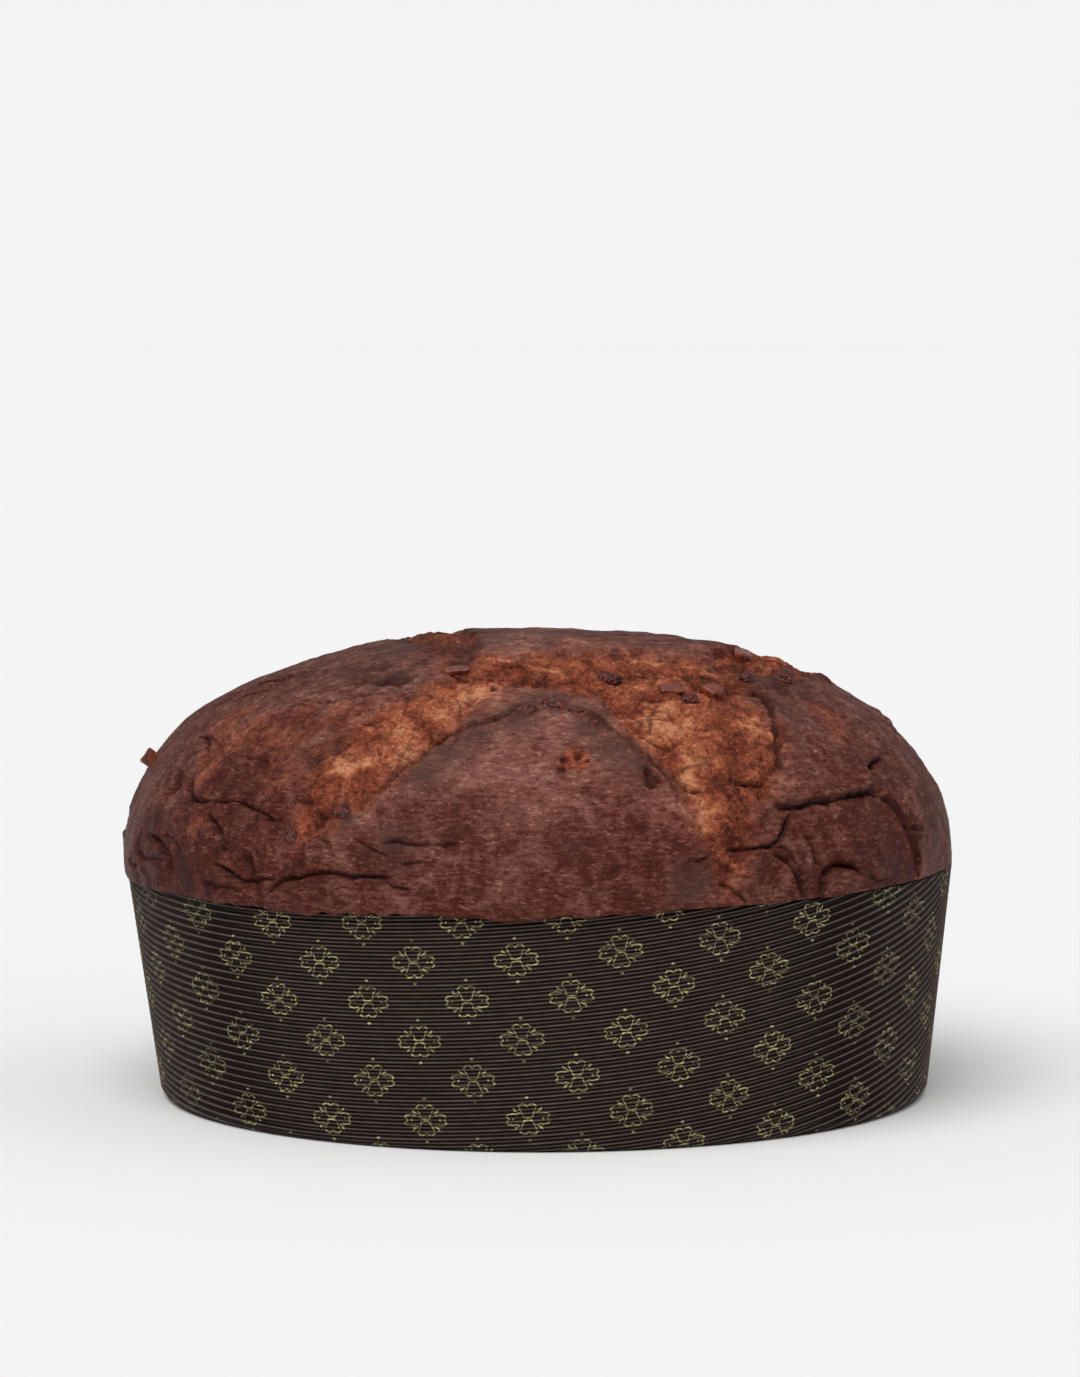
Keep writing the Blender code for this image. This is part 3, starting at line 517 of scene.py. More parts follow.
# %% The torn crumb, and the lips of the petals beside it
# each row of the noise tables: size in mm, strength in mm, seed
RAGGED = ((11.0, 2.2, 5.0), (4.5, 1.5, 9.0), (1.8, 0.7, 13.0))
EDGE_SHARP, EDGE_SOFTER = 0.9, 3.2  # mm: half the width of a torn edge, and how much wider it gets
TORN_MIDDLE = 12.0 * MM  # the crumb swells to its full height this far in
CREVICES = ((11.0, 1.2, 21.0), (5.5, 0.7, 23.0))
CREVICE_SIDE = 0.3  # how far up its side a crevice reaches, in the units of the noise
CREVICE_LINE = 0.03  # how near to its bottom it gets painted shade
CRAGS = ((4.4, 0.6, 27.0), (2.0, 0.42, 31.0))
CRAG_SLOPE = 2.6
CRAG_FLATTER = np.array([1.0, 1.0, 1.3])  # crags are wider than they are tall


def torn_forms(plain, smooth_places):
    """Relief, how torn, how far inside the torn crumb in metres, and the painted shade of the crevices."""
    inside = torn_depth(smooth_places)
    for size, strength, seed in RAGGED:
        inside = inside + strength * MM * lumps(plain, size * MM, seed)
    soft_edge = (EDGE_SHARP + EDGE_SOFTER * smoothstep(0.5 + 1.6 * lumps(plain, 15 * MM, 17.0))) * MM
    torn = smoothstep((inside + soft_edge) / (2.0 * soft_edge))
    relief = torn * (TORN_SWELL * smoothstep(inside / TORN_MIDDLE) - TORN_SINK)
    relief += (1.0 - torn) * PETAL_LIP * np.exp(-np.maximum(-inside, 0.0) / PETAL_LIP_RUN)
    crevice = np.zeros(len(plain))
    for size, strength, seed in CREVICES:
        parted = np.abs(lumps(plain * CRAG_FLATTER, size * MM, seed))
        relief += torn * strength * MM * (CRAG_SLOPE * np.minimum(parted, CREVICE_SIDE) - 0.5)
        crevice = np.maximum(crevice, torn * np.exp(-((parted / CREVICE_LINE) ** 2)))
    for size, strength, seed in CRAGS:
        parted = np.abs(lumps(plain * CRAG_FLATTER, size * MM, seed))
        relief += torn * strength * MM * (0.6 - CRAG_SLOPE * parted)
    return relief, torn, inside, crevice


# %% The wrinkles and puckers of the petals
WRINKLES = ((9.0, 0.26, 41.0), (4.0, 0.16, 47.0), (1.8, 0.07, 49.0))
LEATHER = ((10.0, 1.3, 43.0), (4.6, 0.6, 45.0))  # sharp valleys, rounded tops
LEATHER_FLATTER = np.array([1.0, 1.0, 1.4])
LEATHER_SIDE = 0.35  # how far up its side a valley reaches, in the units of the noise
LEATHER_LINE = 0.07  # how near to its bottom it gets painted shade
LEATHER_DARK = 0.34  # how dark the painted shade gets there
FRONT_WIDTH = 30.0  # degrees: the front petal rose smoothly, so it has few puckers
FRONT_START, FRONT_RUN = 70, 15  # mm of reach
FRONT_CALM = 0.9


def add_puckers(relief, crease, torn, plain, azimuth, reach):
    """Changes relief, and crease, the painted shade in the valleys, in place."""
    for size, strength, seed in WRINKLES:
        relief += (1.0 - torn) * strength * MM * lumps(plain, size * MM, seed)
    front = np.exp(-((np.degrees(azimuth) / FRONT_WIDTH) ** 2))
    front = front * smoothstep((reach / MM - FRONT_START) / FRONT_RUN)
    here = smoothstep(0.7 + 1.6 * lumps(plain, 26 * MM, 83.0))
    puckered = (1.0 - torn) * (1.0 - FRONT_CALM * front) * here
    for size, strength, seed in LEATHER:
        pucker = np.abs(lumps(plain * LEATHER_FLATTER, size * MM, seed))
        relief += puckered * strength * MM * (np.minimum(pucker, LEATHER_SIDE) - 0.15)
        # painted shade along the bottom of each valley
        line = np.exp(-((pucker / LEATHER_LINE) ** 2)) * min(1.0, strength)
        crease[:] = np.maximum(crease, LEATHER_DARK * puckered * line)


# %% The folds and creases
WARP = ((7.0, 1.1, 51.0), (2.6, 0.5, 57.0), (1.1, 0.16, 59.0))  # how far folds wander off their paths
LIP_SIDE, LOW_SIDE = 0.28, 0.62  # a groove is steep under its lip and slacker on the other side
MARK_WIDTH = 0.36  # how much of a groove's half width gets painted shade
FULL_MARK = 2.0  # mm: a groove as deep as this gets the darkest painted shade
FOLD_MARGIN = 25.0 * MM  # how far from its path a fold can be felt


def wander_off(plain):
    """How far each place on the map is moved before the named forms are looked up there."""
    wander = np.zeros((len(plain), 2))
    for size, strength, seed in WARP:
        wander[:, 0] += strength * MM * lumps(plain, size * MM, seed)
        wander[:, 1] += strength * MM * lumps(plain, size * MM, seed + 0.5)
    return wander


def add_folds(relief, crease, plain, places):
    """Changes relief, and crease, the painted shade in the grooves, in place."""
    uneven = 0.85 + 0.55 * lumps(plain, 8 * MM, 61.0)  # deeper in some places than in others
    for lip_mm, groove_mm, width_mm, points in CREASES.values():
        rows = smooth_path(points)
        path = on_map(rows[:, 0], rows[:, 1] * MM)
        low, high = path.min(axis=0) - FOLD_MARGIN, path.max(axis=0) + FOLD_MARGIN
        near = ((places > low) & (places < high)).all(axis=1)
        distance, side, along = path_distance(places[near], path)
        fade = smoothstep(np.minimum(along, 1.0 - along) * 5.0 + 0.12)  # towards both ends
        over = np.where(side > 0, np.exp(-distance / FOLD_RUN), 0.0)
        width = width_mm * MM * np.where(side > 0, LIP_SIDE, LOW_SIDE)
        groove = np.exp(-((distance / width) ** 2)) * uneven[near]
        relief[near] += fade * (lip_mm * MM * over * (1.0 - groove) - groove_mm * MM * groove)
        # painted shade along the bottom of each groove, darker in deeper grooves
        mark = fade * uneven[near] * np.exp(-((distance / (MARK_WIDTH * width_mm * MM)) ** 2))
        crease[near] = np.maximum(crease[near], mark * np.clip(groove_mm / FULL_MARK, 0.0, 1.0))


# %% The swellings, knobs and pits, and painted shade in the pits and round each raisin
POCKET_SHADE = 0.55  # how dark the painted shade in a raisin's pocket makes the crust
POCKET_SHADE_REACH = 0.3  # how far it goes, as a share of a raisin's length and width together


def add_spots(relief, smooth_places, wander):
    """Adds the round forms to the relief, and returns the painted shade in the pits and round each raisin."""
    places = smooth_places + wander
    for rows, power in ((SWELLINGS, 1), (KNOBS, 2)):
        for azimuth_deg, reach_mm, radius_mm, height_mm in rows:
            relief += height_mm * MM * spot(places, azimuth_deg, reach_mm, radius_mm, power)
    pitted = np.zeros(len(relief))
    for azimuth_deg, reach_mm, radius_mm, depth_mm in PITS + SMALL_PITS:
        bent = smooth_places + min(radius_mm / 2.5, 2.0) * wander
        hollow = spot(bent, azimuth_deg, reach_mm, radius_mm, 2)
        relief -= depth_mm * MM * hollow
        # deep, narrow pits get painted shade
        dark = np.clip((depth_mm / radius_mm - SHALLOW) / (SHARP - SHALLOW), 0.0, 1.0)
        pitted = np.maximum(pitted, dark * hollow)
    # painted shade in the pocket round each raisin
    for _, azimuth_deg, reach_mm, length_mm, width_mm, *_ in RAISINS:
        shade_round_raisin = spot(places, azimuth_deg, reach_mm, POCKET_SHADE_REACH * (length_mm + width_mm), 2)
        pitted = np.maximum(pitted, POCKET_SHADE * shade_round_raisin)
    return pitted


# %% The crust as one function
SOFT_EDGE = 7 * MM  # over which the skin's colour gives way to the crumb's
FOOT_FADE = 6 * MM  # over which the hollows grow shallow towards the foot
UNEVEN = 0.6 * MM  # broad waves over the whole crust rise and sink by up to this much


def crust_colours(plain, azimuth, reach, inside, smooth_places, wander):
    """How torn the crust looks and how brown it is, from 0 to 1."""
    crumb = smoothstep((inside + 3.0 * MM * (1.0 + lumps(plain, 6 * MM, 71.0))) / SOFT_EDGE)
    warm = patches(smooth_places + 3.0 * wander, WARM_PATCHES)
    flaked = smoothstep(2.2 * patches(smooth_places + 1.6 * wander, FLAKED) - 0.6)
    crumb = np.maximum(np.maximum(crumb, 0.55 * warm), flaked)
    warm = np.maximum(warm, 0.62 * flaked)
    facing = np.exp(-((np.degrees(azimuth) / LOW_WIDTH) ** 2))
    low = smoothstep((reach / MM - LOW_START) / LOW_RUN) * (0.25 + 0.75 * facing)
    skin = petal_tone(azimuth) - LOW_DARKER * low
    felt = FELT * smoothstep(2.0 * patches(smooth_places + 3.0 * wander, FELTED)) * (1.0 - crumb)
    skin = skin + felt * (FELT_TONE - skin)
    tone = (1.0 - crumb) * skin + crumb * (CRUMB_TONE + WARMTH * warm - 0.5 * LOW_DARKER * low)
    return np.maximum(crumb, felt), tone


def crust_forms(azimuth, reach):
    """Relief above the plain dome in metres, and maps of the crust from 0 to 1."""
    plain, _ = dome_point(azimuth, reach)
    smooth_places = on_map(np.degrees(azimuth), reach)
    wander = wander_off(plain)
    relief, torn, inside, crevice = torn_forms(plain, smooth_places)
    # the crease map is painted shade: the crevices start it, and the valleys and folds add to it
    crease = 0.6 * crevice
    add_puckers(relief, crease, torn, plain, azimuth, reach)
    add_folds(relief, crease, plain, smooth_places + wander)
    pitted = add_spots(relief, smooth_places, wander)
    relief += UNEVEN * lumps(plain, 22 * MM, 3.0)
    above_foot = smoothstep((FULL_REACH - reach) / FOOT_FADE)
    relief = np.where(relief < 0.0, relief * (0.2 + 0.8 * above_foot), relief)
    crumb, tone = crust_colours(plain, azimuth, reach, inside, smooth_places, wander)
    burnt = patches(smooth_places + 3.0 * wander, BURNT_PATCHES)
    return relief, {"crumb": crumb, "tone": tone, "crease": crease, "pitted": pitted, "burnt": burnt}


# %% [markdown]
# ## Modelling the loaf
#
# A ball of triangles has no poles and no rows, so its detail can go wherever it is needed. The ball is
# cut off at the loaf's widest ring. Its faces are split once where the crumb is torn and once more along
# the folds, which keeps the mesh light on the smooth petals. Only then is every vertex set on the dome
# and lifted by the crust function. The open rim is extruded ring by ring: under the lip that hangs over
# the paper, down the inside of the mould, and in to a flat bottom.

# %% A ball, cut open at the foot and split where detail is needed
BALL_SUBDIVISIONS = 7
FOOT_POLAR = math.radians(100)
# faces are split where the crumb is torn, near a fold, where the skin flaked off and close to the foot
SPLIT_TORN = -2.0 * MM  # once from this depth in the torn crumb, so also just outside it
SPLIT_NEAR, SPLIT_NEARER = 3.0 * MM, 0.9 * MM  # distance to a fold: once, and twice
SPLIT_FLAKED, SPLIT_FLAKED_MORE = 0.1, 0.25  # how flaked, from 0 to 1: once, and twice
SPLIT_FOOT = 4 * MM


def ball_places(points):
    """Azimuth and reach of a point on the unit ball, so that equal areas stay about equal."""
    azimuth = np.arctan2(points[:, 0], -points[:, 1])
    polar = np.arccos(np.clip(points[:, 2] / np.linalg.norm(points, axis=1), -1.0, 1.0))
    return azimuth, np.clip(polar / FOOT_POLAR, 0.0, 1.0) * FULL_REACH


def fold_nearness(places):
    """Distance in metres to the nearest fold."""
    nearest = np.full(len(places), 1e9)
    for *_, points in CREASES.values():
        rows = smooth_path(points)
        distance, _, _ = path_distance(places, on_map(rows[:, 0], rows[:, 1] * MM))
        nearest = np.minimum(nearest, distance)
    return nearest


def split_faces(piece, wanted):
    """Subdivides the faces whose centre is wanted, and puts the new vertices back on the unit ball."""
    azimuth, reach = ball_places(read_all(piece.data.polygons, "center", 3))
    chosen = wanted(on_map(np.degrees(azimuth), reach), reach)
    select_only(piece)
    edit_mode()
    bpy.ops.mesh.select_all(action="DESELECT")
    object_mode()
    for domain in (piece.data.vertices, piece.data.edges):
        domain.foreach_set("select", np.zeros(len(domain), bool))
    piece.data.polygons.foreach_set("select", chosen)
    edit_mode()
    bpy.ops.mesh.select_mode(type="FACE")
    bpy.ops.mesh.subdivide(number_cuts=1)
    bpy.ops.mesh.quads_convert_to_tris()
    object_mode()
    points = read_points(piece)
    off_rim = points[:, 2] > math.cos(FOOT_POLAR) + 1e-5
    points[off_rim] /= np.linalg.norm(points[off_rim], axis=1)[:, None]
    write_points(piece, points)
    return chosen.sum()


select_only()
bpy.ops.mesh.primitive_ico_sphere_add(subdivisions=BALL_SUBDIVISIONS, radius=1.0)
loaf = named("bread")
edit_mode()
bpy.ops.mesh.select_all(action="SELECT")
bpy.ops.mesh.bisect(plane_co=(0, 0, math.cos(FOOT_POLAR)), plane_no=(0, 0, -1), clear_outer=True)
object_mode()


def needs_one_split(places, reach):
    torn_or_folded = (torn_depth(places) > SPLIT_TORN) | (fold_nearness(places) < SPLIT_NEAR)
    return torn_or_folded | (patches(places, FLAKED) > SPLIT_FLAKED) | (reach > FULL_REACH - SPLIT_FOOT)


def needs_two_splits(places, reach):
    return (fold_nearness(places) < SPLIT_NEARER) | (patches(places, FLAKED) > SPLIT_FLAKED_MORE)


once = split_faces(loaf, needs_one_split)
twice = split_faces(loaf, needs_two_splits)
print("faces split once:", once, "and twice:", twice, "now", len(loaf.data.polygons))

# %% Setting the ball on the dome, with its relief
azimuth, reach = ball_places(read_points(loaf))
plain, normals = dome_point(azimuth, reach)
relief, crust_maps = crust_forms(azimuth, reach)
write_points(loaf, plain + normals * relief[:, None])
print("relief from", round(relief.min() / MM, 1), "to", round(relief.max() / MM, 1), "mm")

# %% Extruding the open rim: under the lip, down the wall and in to the bottom
LIP_RINGS = 4
LIP_LEAST = 0.6 * MM  # the lip hangs only where the crust stands out this much beyond the gap
LIP_MOST = 2.1 * MM
LIP_HANG, LIP_WAVE = 0.32, 0.45  # of the most: how low it hangs, and how much that changes
LIP_TUCK = 0.6  # how much of the way back to the paper the lip's round under side goes
LIP_DROP = 0.15 * MM
LIP_SKIN = 0.4 * MM
RIM_GAP = 0.6 * MM
WALL_GAP = 0.7 * MM
FLOOR_GAP = 0.3 * MM


def lip_waves(azimuth):
    """The uneven lower edge of the crust, about -1 to 1: rounded lobes with sharp notches."""
    rim = DOME_RADIUS * np.stack([np.sin(azimuth), np.cos(azimuth), 0.0 * azimuth], axis=-1)
    lobes = 2.6 * np.abs(lumps(rim, 9 * MM, 91.0)) - 0.75
    return 0.8 * lumps(rim, 24 * MM, 93.0) + lobes + 0.3 * lumps(rim, 3 * MM, 95.0)


def rim_edge(azimuth):
    """Outer radius from the loaf's own axis, and height, of the paper's edge in each direction."""
    x = RIM_SHIFT - DOME_SHIFT
    radius = x * np.sin(azimuth) + np.sqrt(RIM_RADIUS**2 - (x * np.cos(azimuth)) ** 2)
    height = RIM_HEIGHT + math.tan(RIM_TILT) * RIM_RADIUS * np.sin(azimuth)
    return radius, height


def lip_profile(foot):
    """The rings below the dome's foot, as (x of the ring's axis, radius, height), and their azimuths."""
    azimuth = np.arctan2(foot[:, 0] - DOME_SHIFT, -foot[:, 1])
    bulge = np.hypot(foot[:, 0] - DOME_SHIFT, foot[:, 1])
    edge_radius, edge_height = rim_edge(azimuth)
    widest = np.maximum(bulge, edge_radius - PAPER)
    hang = smoothstep((widest - edge_radius - RIM_GAP - LIP_LEAST) / LIP_LEAST)
    inner = np.minimum(edge_radius + RIM_GAP, widest - LIP_SKIN)
    top = edge_height + RIM_GAP
    low = top - hang * LIP_MOST * np.maximum(LIP_HANG + LIP_WAVE * lip_waves(azimuth), 0.02) - LIP_DROP
    rings = []
    for i in range(1, LIP_RINGS + 1):
        turn = math.pi / 2 * i / LIP_RINGS
        radius = widest + LIP_TUCK * (inner - widest) * (1.0 - math.cos(turn))
        rings.append((DOME_SHIFT, radius, foot[:, 2] + (low - foot[:, 2]) * math.sin(turn)))
    rings.append((DOME_SHIFT, inner, low))
    rings.append((DOME_SHIFT, inner, top))
    rings.append((DOME_SHIFT, edge_radius - PAPER - WALL_GAP, top))
    floor = PAPER + FLOOR_GAP
    for share in (0.5, 1.0):
        height = top + (floor + BASE_ROUND - top) * share
        level = height / edge_height
        narrow = (RIM_RADIUS - BASE_RADIUS) * (1.0 - np.minimum(level, 1.0))
        rings.append((RIM_SHIFT * level, RIM_RADIUS - narrow - PAPER - WALL_GAP, height))
    flat_radius = BASE_RADIUS - PAPER - WALL_GAP - BASE_ROUND
    rings.append((0.0, np.full(len(foot), flat_radius), np.full(len(foot), floor)))
    return azimuth, rings


def open_edge_loop():
    """Selects the edges that have only one face, in edit mode."""
    bpy.ops.mesh.select_mode(type="EDGE")
    bpy.ops.mesh.select_all(action="DESELECT")
    others = ("use_wire", "use_multi_face", "use_non_contiguous", "use_verts")
    bpy.ops.mesh.select_non_manifold(**{other: False for other in others})


def extrude_in_place():
    """Extrudes what is selected without moving it. Returns to object mode, with the new part selected."""
    edit_mode()
    bpy.ops.mesh.extrude_region_move(TRANSFORM_OT_translate={"value": (0, 0, 0)})
    object_mode()


select_only(loaf)
edit_mode()
open_edge_loop()
object_mode()
foot = selected_vertices(loaf)
foot_azimuth, rings = lip_profile(read_points(loaf)[foot])
order = np.argsort(foot_azimuth)
for axis, radius, height in rings:
    extrude_in_place()
    points, chosen = read_points(loaf), selected_vertices(loaf)
    turn = np.arctan2(points[chosen, 0] - DOME_SHIFT, -points[chosen, 1])
    ring_axis = np.interp(turn, foot_azimuth[order], (axis + 0.0 * radius)[order])
    ring_radius = np.interp(turn, foot_azimuth[order], radius[order])
    points[chosen, 0] = ring_axis + ring_radius * np.sin(turn)
    points[chosen, 1] = -ring_radius * np.cos(turn)
    points[chosen, 2] = np.interp(turn, foot_azimuth[order], height[order])
    write_points(loaf, points)
edit_mode()
bpy.ops.mesh.edge_face_add()
bpy.ops.mesh.quads_convert_to_tris()
object_mode()
print("bread:", len(loaf.data.polygons), "faces")

# %% Keeping the maps at each vertex. Under the lip they are as at the foot above, a little smoothed
CARRY_SPREAD = math.radians(2.0) * np.arange(-2, 3)


def keep_values(piece, name, values):
    """Stores one number per vertex."""
    layer = piece.data.attributes.new(name, "FLOAT", "POINT")
    layer.data.foreach_set("value", values)


below = read_points(loaf)[len(foot) :]
below_azimuth = np.arctan2(below[:, 0] - DOME_SHIFT, -below[:, 1])
for name, values in crust_maps.items():
    at_foot = values[foot][order]
    carried = [np.interp(below_azimuth + turn, foot_azimuth[order], at_foot) for turn in CARRY_SPREAD]
    keep_values(loaf, name, np.concatenate([values, np.mean(carried, axis=0)]))
loaf.data.shade_smooth()
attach(loaf, "root")
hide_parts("loaf")

# %% [markdown]
# ## A small language for materials
#
# A material in Blender is a graph of nodes. Written out node by node it is hard to read, so a small
# class wraps a node's output: adding or multiplying two of them adds the Math node that does it. Any
# other kind of node comes from one method.

# %% The class that writes shader maths as Python expressions
def adds_node(operation):
    """A method that adds the Math node for one operation."""
    return lambda self, *others: self.math(operation, *others)


class Value:
    """A node's output, which Python's operators turn into Math nodes."""

    __add__ = adds_node("ADD")
    __sub__ = adds_node("SUBTRACT")
    __mul__ = adds_node("MULTIPLY")
    __truediv__ = adds_node("DIVIDE")
    __mod__ = adds_node("FLOORED_MODULO")
    __gt__ = adds_node("GREATER_THAN")
    __abs__ = adds_node("ABSOLUTE")
    low = adds_node("MINIMUM")
    high = adds_node("MAXIMUM")

    def __init__(self, finish, link):
        self.finish = finish
        self.link = link

    def math(self, operation, *others):
        inputs = dict(enumerate((self, *others)))
        return self.finish.node("ShaderNodeMath", {"operation": operation}, inputs)

    def __rsub__(self, other):
        return self.math("MULTIPLY", -1.0).math("ADD", other)

    def ramp(self, start, end, low=0.0, high=1.0):
        """Goes smoothly from low to high while this value goes from start to end."""
        settings = {"interpolation_type": "SMOOTHSTEP"}
        inputs = {"Value": self, "From Min": start, "From Max": end, "To Min": low, "To Max": high}
        return self.finish.node("ShaderNodeMapRange", settings, inputs)


class Finish:
    """A material in the making."""

    def __init__(self, name, **constants):
        self.material = bpy.data.materials.new(name)
        self.material.use_nodes = True
        self.tree = self.material.node_tree
        self.shader = self.tree.nodes["Principled BSDF"]
        for socket, value in constants.items():
            self.shader.inputs[socket.replace("_", " ")].default_value = value

    def node(self, kind, settings=None, inputs=None, output=0):
        """Adds a node: its settings are set first, then its sockets are given values or links."""
        made = self.tree.nodes.new(kind)
        for name, value in (settings or {}).items():
            if name == "stops":
                self.set_stops(made.color_ramp, value)
            else:
                setattr(made, name, value)
        for socket, value in (inputs or {}).items():
            if isinstance(value, Value):
                self.tree.links.new(value.link, made.inputs[socket])
            else:
                made.inputs[socket].default_value = value
        return Value(self, made.outputs[output])

    def set_stops(self, ramp, stops):
        while len(ramp.elements) < len(stops):
            ramp.elements.new(1.0)
        for element, (place, colour) in zip(ramp.elements, stops):
            element.position = place
            element.color = colour

    def browning(self, level, stops):
        """The colour that a browning level from 0 to 1 gives, between named colours."""
        return self.node("ShaderNodeValToRGB", {"stops": stops}, {"Fac": level})

    def attribute(self, name):
        """One of the numbers that were kept at each vertex."""
        return self.node("ShaderNodeAttribute", {"attribute_name": name}, output=2)

    def position(self, stretch=(1.0, 1.0, 1.0)):
        """The place on the object, stretched so that a pattern runs long in one direction."""
        place = self.node("ShaderNodeTexCoord", output=3)
        return self.node("ShaderNodeMapping", inputs={"Vector": place, "Scale": stretch})

    def speckle(self, size, stretch=(1.0, 1.0, 1.0), detail=2.0, rough=0.55, twist=0.0):
        """Noise from 0 to 1 with spots of the given size in metres."""
        inputs = {
            "Vector": self.position(stretch),
            "Scale": 1.0 / size,
            "Detail": detail,
            "Roughness": rough,
            "Distortion": twist,
        }
        return self.node("ShaderNodeTexNoise", inputs=inputs)

    def blend(self, factor, first, second):
        """Mixes two colours: the first where the factor is 0, the second where it is 1."""
        settings = {"data_type": "RGBA", "clamp_factor": True}
        return self.node("ShaderNodeMix", settings, {0: factor, 6: first, 7: second}, output=2)

    def feed(self, socket, value):
        self.tree.links.new(value.link, self.shader.inputs[socket])

    def bump(self, height, distance, strength=1.0):
        inputs = {"Height": height, "Distance": distance, "Strength": strength}
        self.feed("Normal", self.node("ShaderNodeBump", inputs=inputs))


def srgb(red, green, blue):
    """A colour from 0 to 255, as a picture editor shows it, in the linear values that a shader needs."""
    parts = [value / 255 for value in (red, green, blue)]
    return tuple(p / 12.92 if p <= 0.04045 else ((p + 0.055) / 1.055) ** 2.4 for p in parts) + (1.0,)


# %% [markdown]
# ## The crust's finish
#
# Bread browns along one scale: pale, orange, red brown, nearly black. The material works out a browning
# level for each point, from the maps that the crust function made and from noise at several sizes, and
# only then turns the level into a colour. The smooth petals are covered in tiny flecks that run round the
# loaf, and have a purple cast. The torn crumb is more orange, and fibrous. Folds, crevices, pits and the
# pockets round the raisins get painted shade, almost black, and where the crust caught in the oven it is
# grey.

# %% The crust's material
SMOOTH_CRUST = [
    (0.0, srgb(34, 14, 12)),
    (0.3, srgb(79, 31, 22)),
    (0.55, srgb(114, 71, 60)),
    (0.78, srgb(150, 103, 88)),
    (1.0, srgb(198, 147, 120)),
]
TORN_CRUMB = [
    (0.0, srgb(34, 12, 9)),
    (0.33, srgb(93, 41, 27)),
    (0.6, srgb(140, 72, 49)),
    (0.8, srgb(174, 100, 70)),
    (1.0, srgb(202, 138, 100)),
]
FOLD_SHADE = srgb(32, 13, 11)  # painted shade deep in a fold, a crevice or a valley of the skin
PIT_SHADE = srgb(54, 18, 12)  # painted shade in a pit and round a raisin
CAUGHT = srgb(64, 42, 39)  # where the crust caught


def crust_finish():
    finish = Finish("crust", IOR=1.45, Specular_IOR_Level=0.12)
    crumb, tone, crease, pitted, burnt = (
        finish.attribute(name) for name in ("crumb", "tone", "crease", "pitted", "burnt")
    )
    broad = finish.speckle(20 * MM, detail=2.0)
    mottles = finish.speckle(5 * MM, detail=3.0, rough=0.6, twist=0.6)
    grain = finish.speckle(1.3 * MM, stretch=(0.45, 0.45, 1.4), detail=4.0, rough=0.7)
    flecks = finish.speckle(0.6 * MM, stretch=(0.35, 0.35, 1.1), detail=2.0, rough=0.6)
    pores = finish.speckle(1.1 * MM, detail=1.0)
    fibres = finish.speckle(1.3 * MM, detail=4.0, rough=0.66, twist=0.25)
    clods = finish.speckle(8 * MM, detail=3.0, rough=0.6, twist=0.5)
    strands = abs(finish.speckle(2.0 * MM, detail=3.0, rough=0.7, twist=0.8) - 0.5)

    large = (broad - 0.5) * 0.45 + (mottles - 0.5) * 0.6 + 0.015
    specks = flecks.ramp(0.57, 0.70) * 0.24 - pores.ramp(0.36, 0.24) * 0.22
    fine = (grain - 0.5) * 0.9 + specks
    rough = (fibres - 0.5) * 0.85 + (clods - 0.5) * 1.0 + strands.ramp(0.0, 0.05, -0.2, 0.03)
    level = tone + large + fine * (1.0 - crumb * 0.6) + rough * (crumb * 0.8 + 0.2)
    smooth, torn = finish.browning(level, SMOOTH_CRUST), finish.browning(level, TORN_CRUMB)
    colour = finish.blend(crumb, smooth, torn)
    caught = (burnt * (mottles.ramp(0.35, 0.6) * 0.6 + 0.35)).low(0.8)
    colour = finish.blend(caught, colour, CAUGHT)
    # painted shade in the pits and round the raisins
    colour = finish.blend(pitted.ramp(0.15, 0.9) * 0.85, colour, PIT_SHADE)
    # painted shade in the folds, crevices and valleys of the skin
    finish.feed("Base Color", finish.blend((crease * 1.1).low(0.88), colour, FOLD_SHADE))
    finish.feed("Roughness", crumb * 0.15 + grain * 0.2 - pitted * 0.2 + 0.44)
    height = (grain + flecks * 0.4) * (1.0 - crumb * 0.7) + (fibres * 2.6 + strands * 2.0) * crumb
    finish.bump(height + mottles * 0.6, 0.5 * MM, 0.9)
    return finish.material


loaf.data.materials.append(crust_finish())

# %% [markdown]
# ## The paper mould
#
# The mould is a strip of ridged paper, bent round into a slightly tapered wall and glued to a flat base.
# The ridges are straight on the flat strip. Bent into a cone they no longer lie level: they dip on one
# side and climb on the other, and meet in a shallow V at the seam behind. The wall is therefore made the
# same way: a flat grid whose rows follow the ridges is bent round the cone, then cut off level at the
# rim and at the base.

# %% The ridged strip, bent round and trimmed
STRIP_COLUMNS = 210
RIDGE_PITCH = 2.05 * MM
RIDGE_DEPTH = 0.75 * MM
TROUGH_SHARE = 0.34  # how much of the wave belongs to the smaller crease in the middle of each trough
ROWS_PER_RIDGE = 10
SEAM_AZIMUTH = math.radians(145)  # the glued seam is behind, on the right
TAPER = math.atan((RIM_RADIUS - BASE_RADIUS) / RIM_HEIGHT)
BASE_SLANT = BASE_RADIUS / math.sin(TAPER)  # from the cone's tip to the base, along the wall
HALF_SWEEP = math.pi * math.sin(TAPER)  # half the angle that the flat strip covers
WALL_FOOT = BASE_ROUND
FINE = 0.001 * MM  # the bisect operator's own threshold, 0.1 mm, is half the gap between two rows
SAME_PLACE = 0.00002  # metres: points at the seam nearer than this become one
RIM_SLANT = BASE_SLANT + RIM_HEIGHT / math.cos(TAPER)


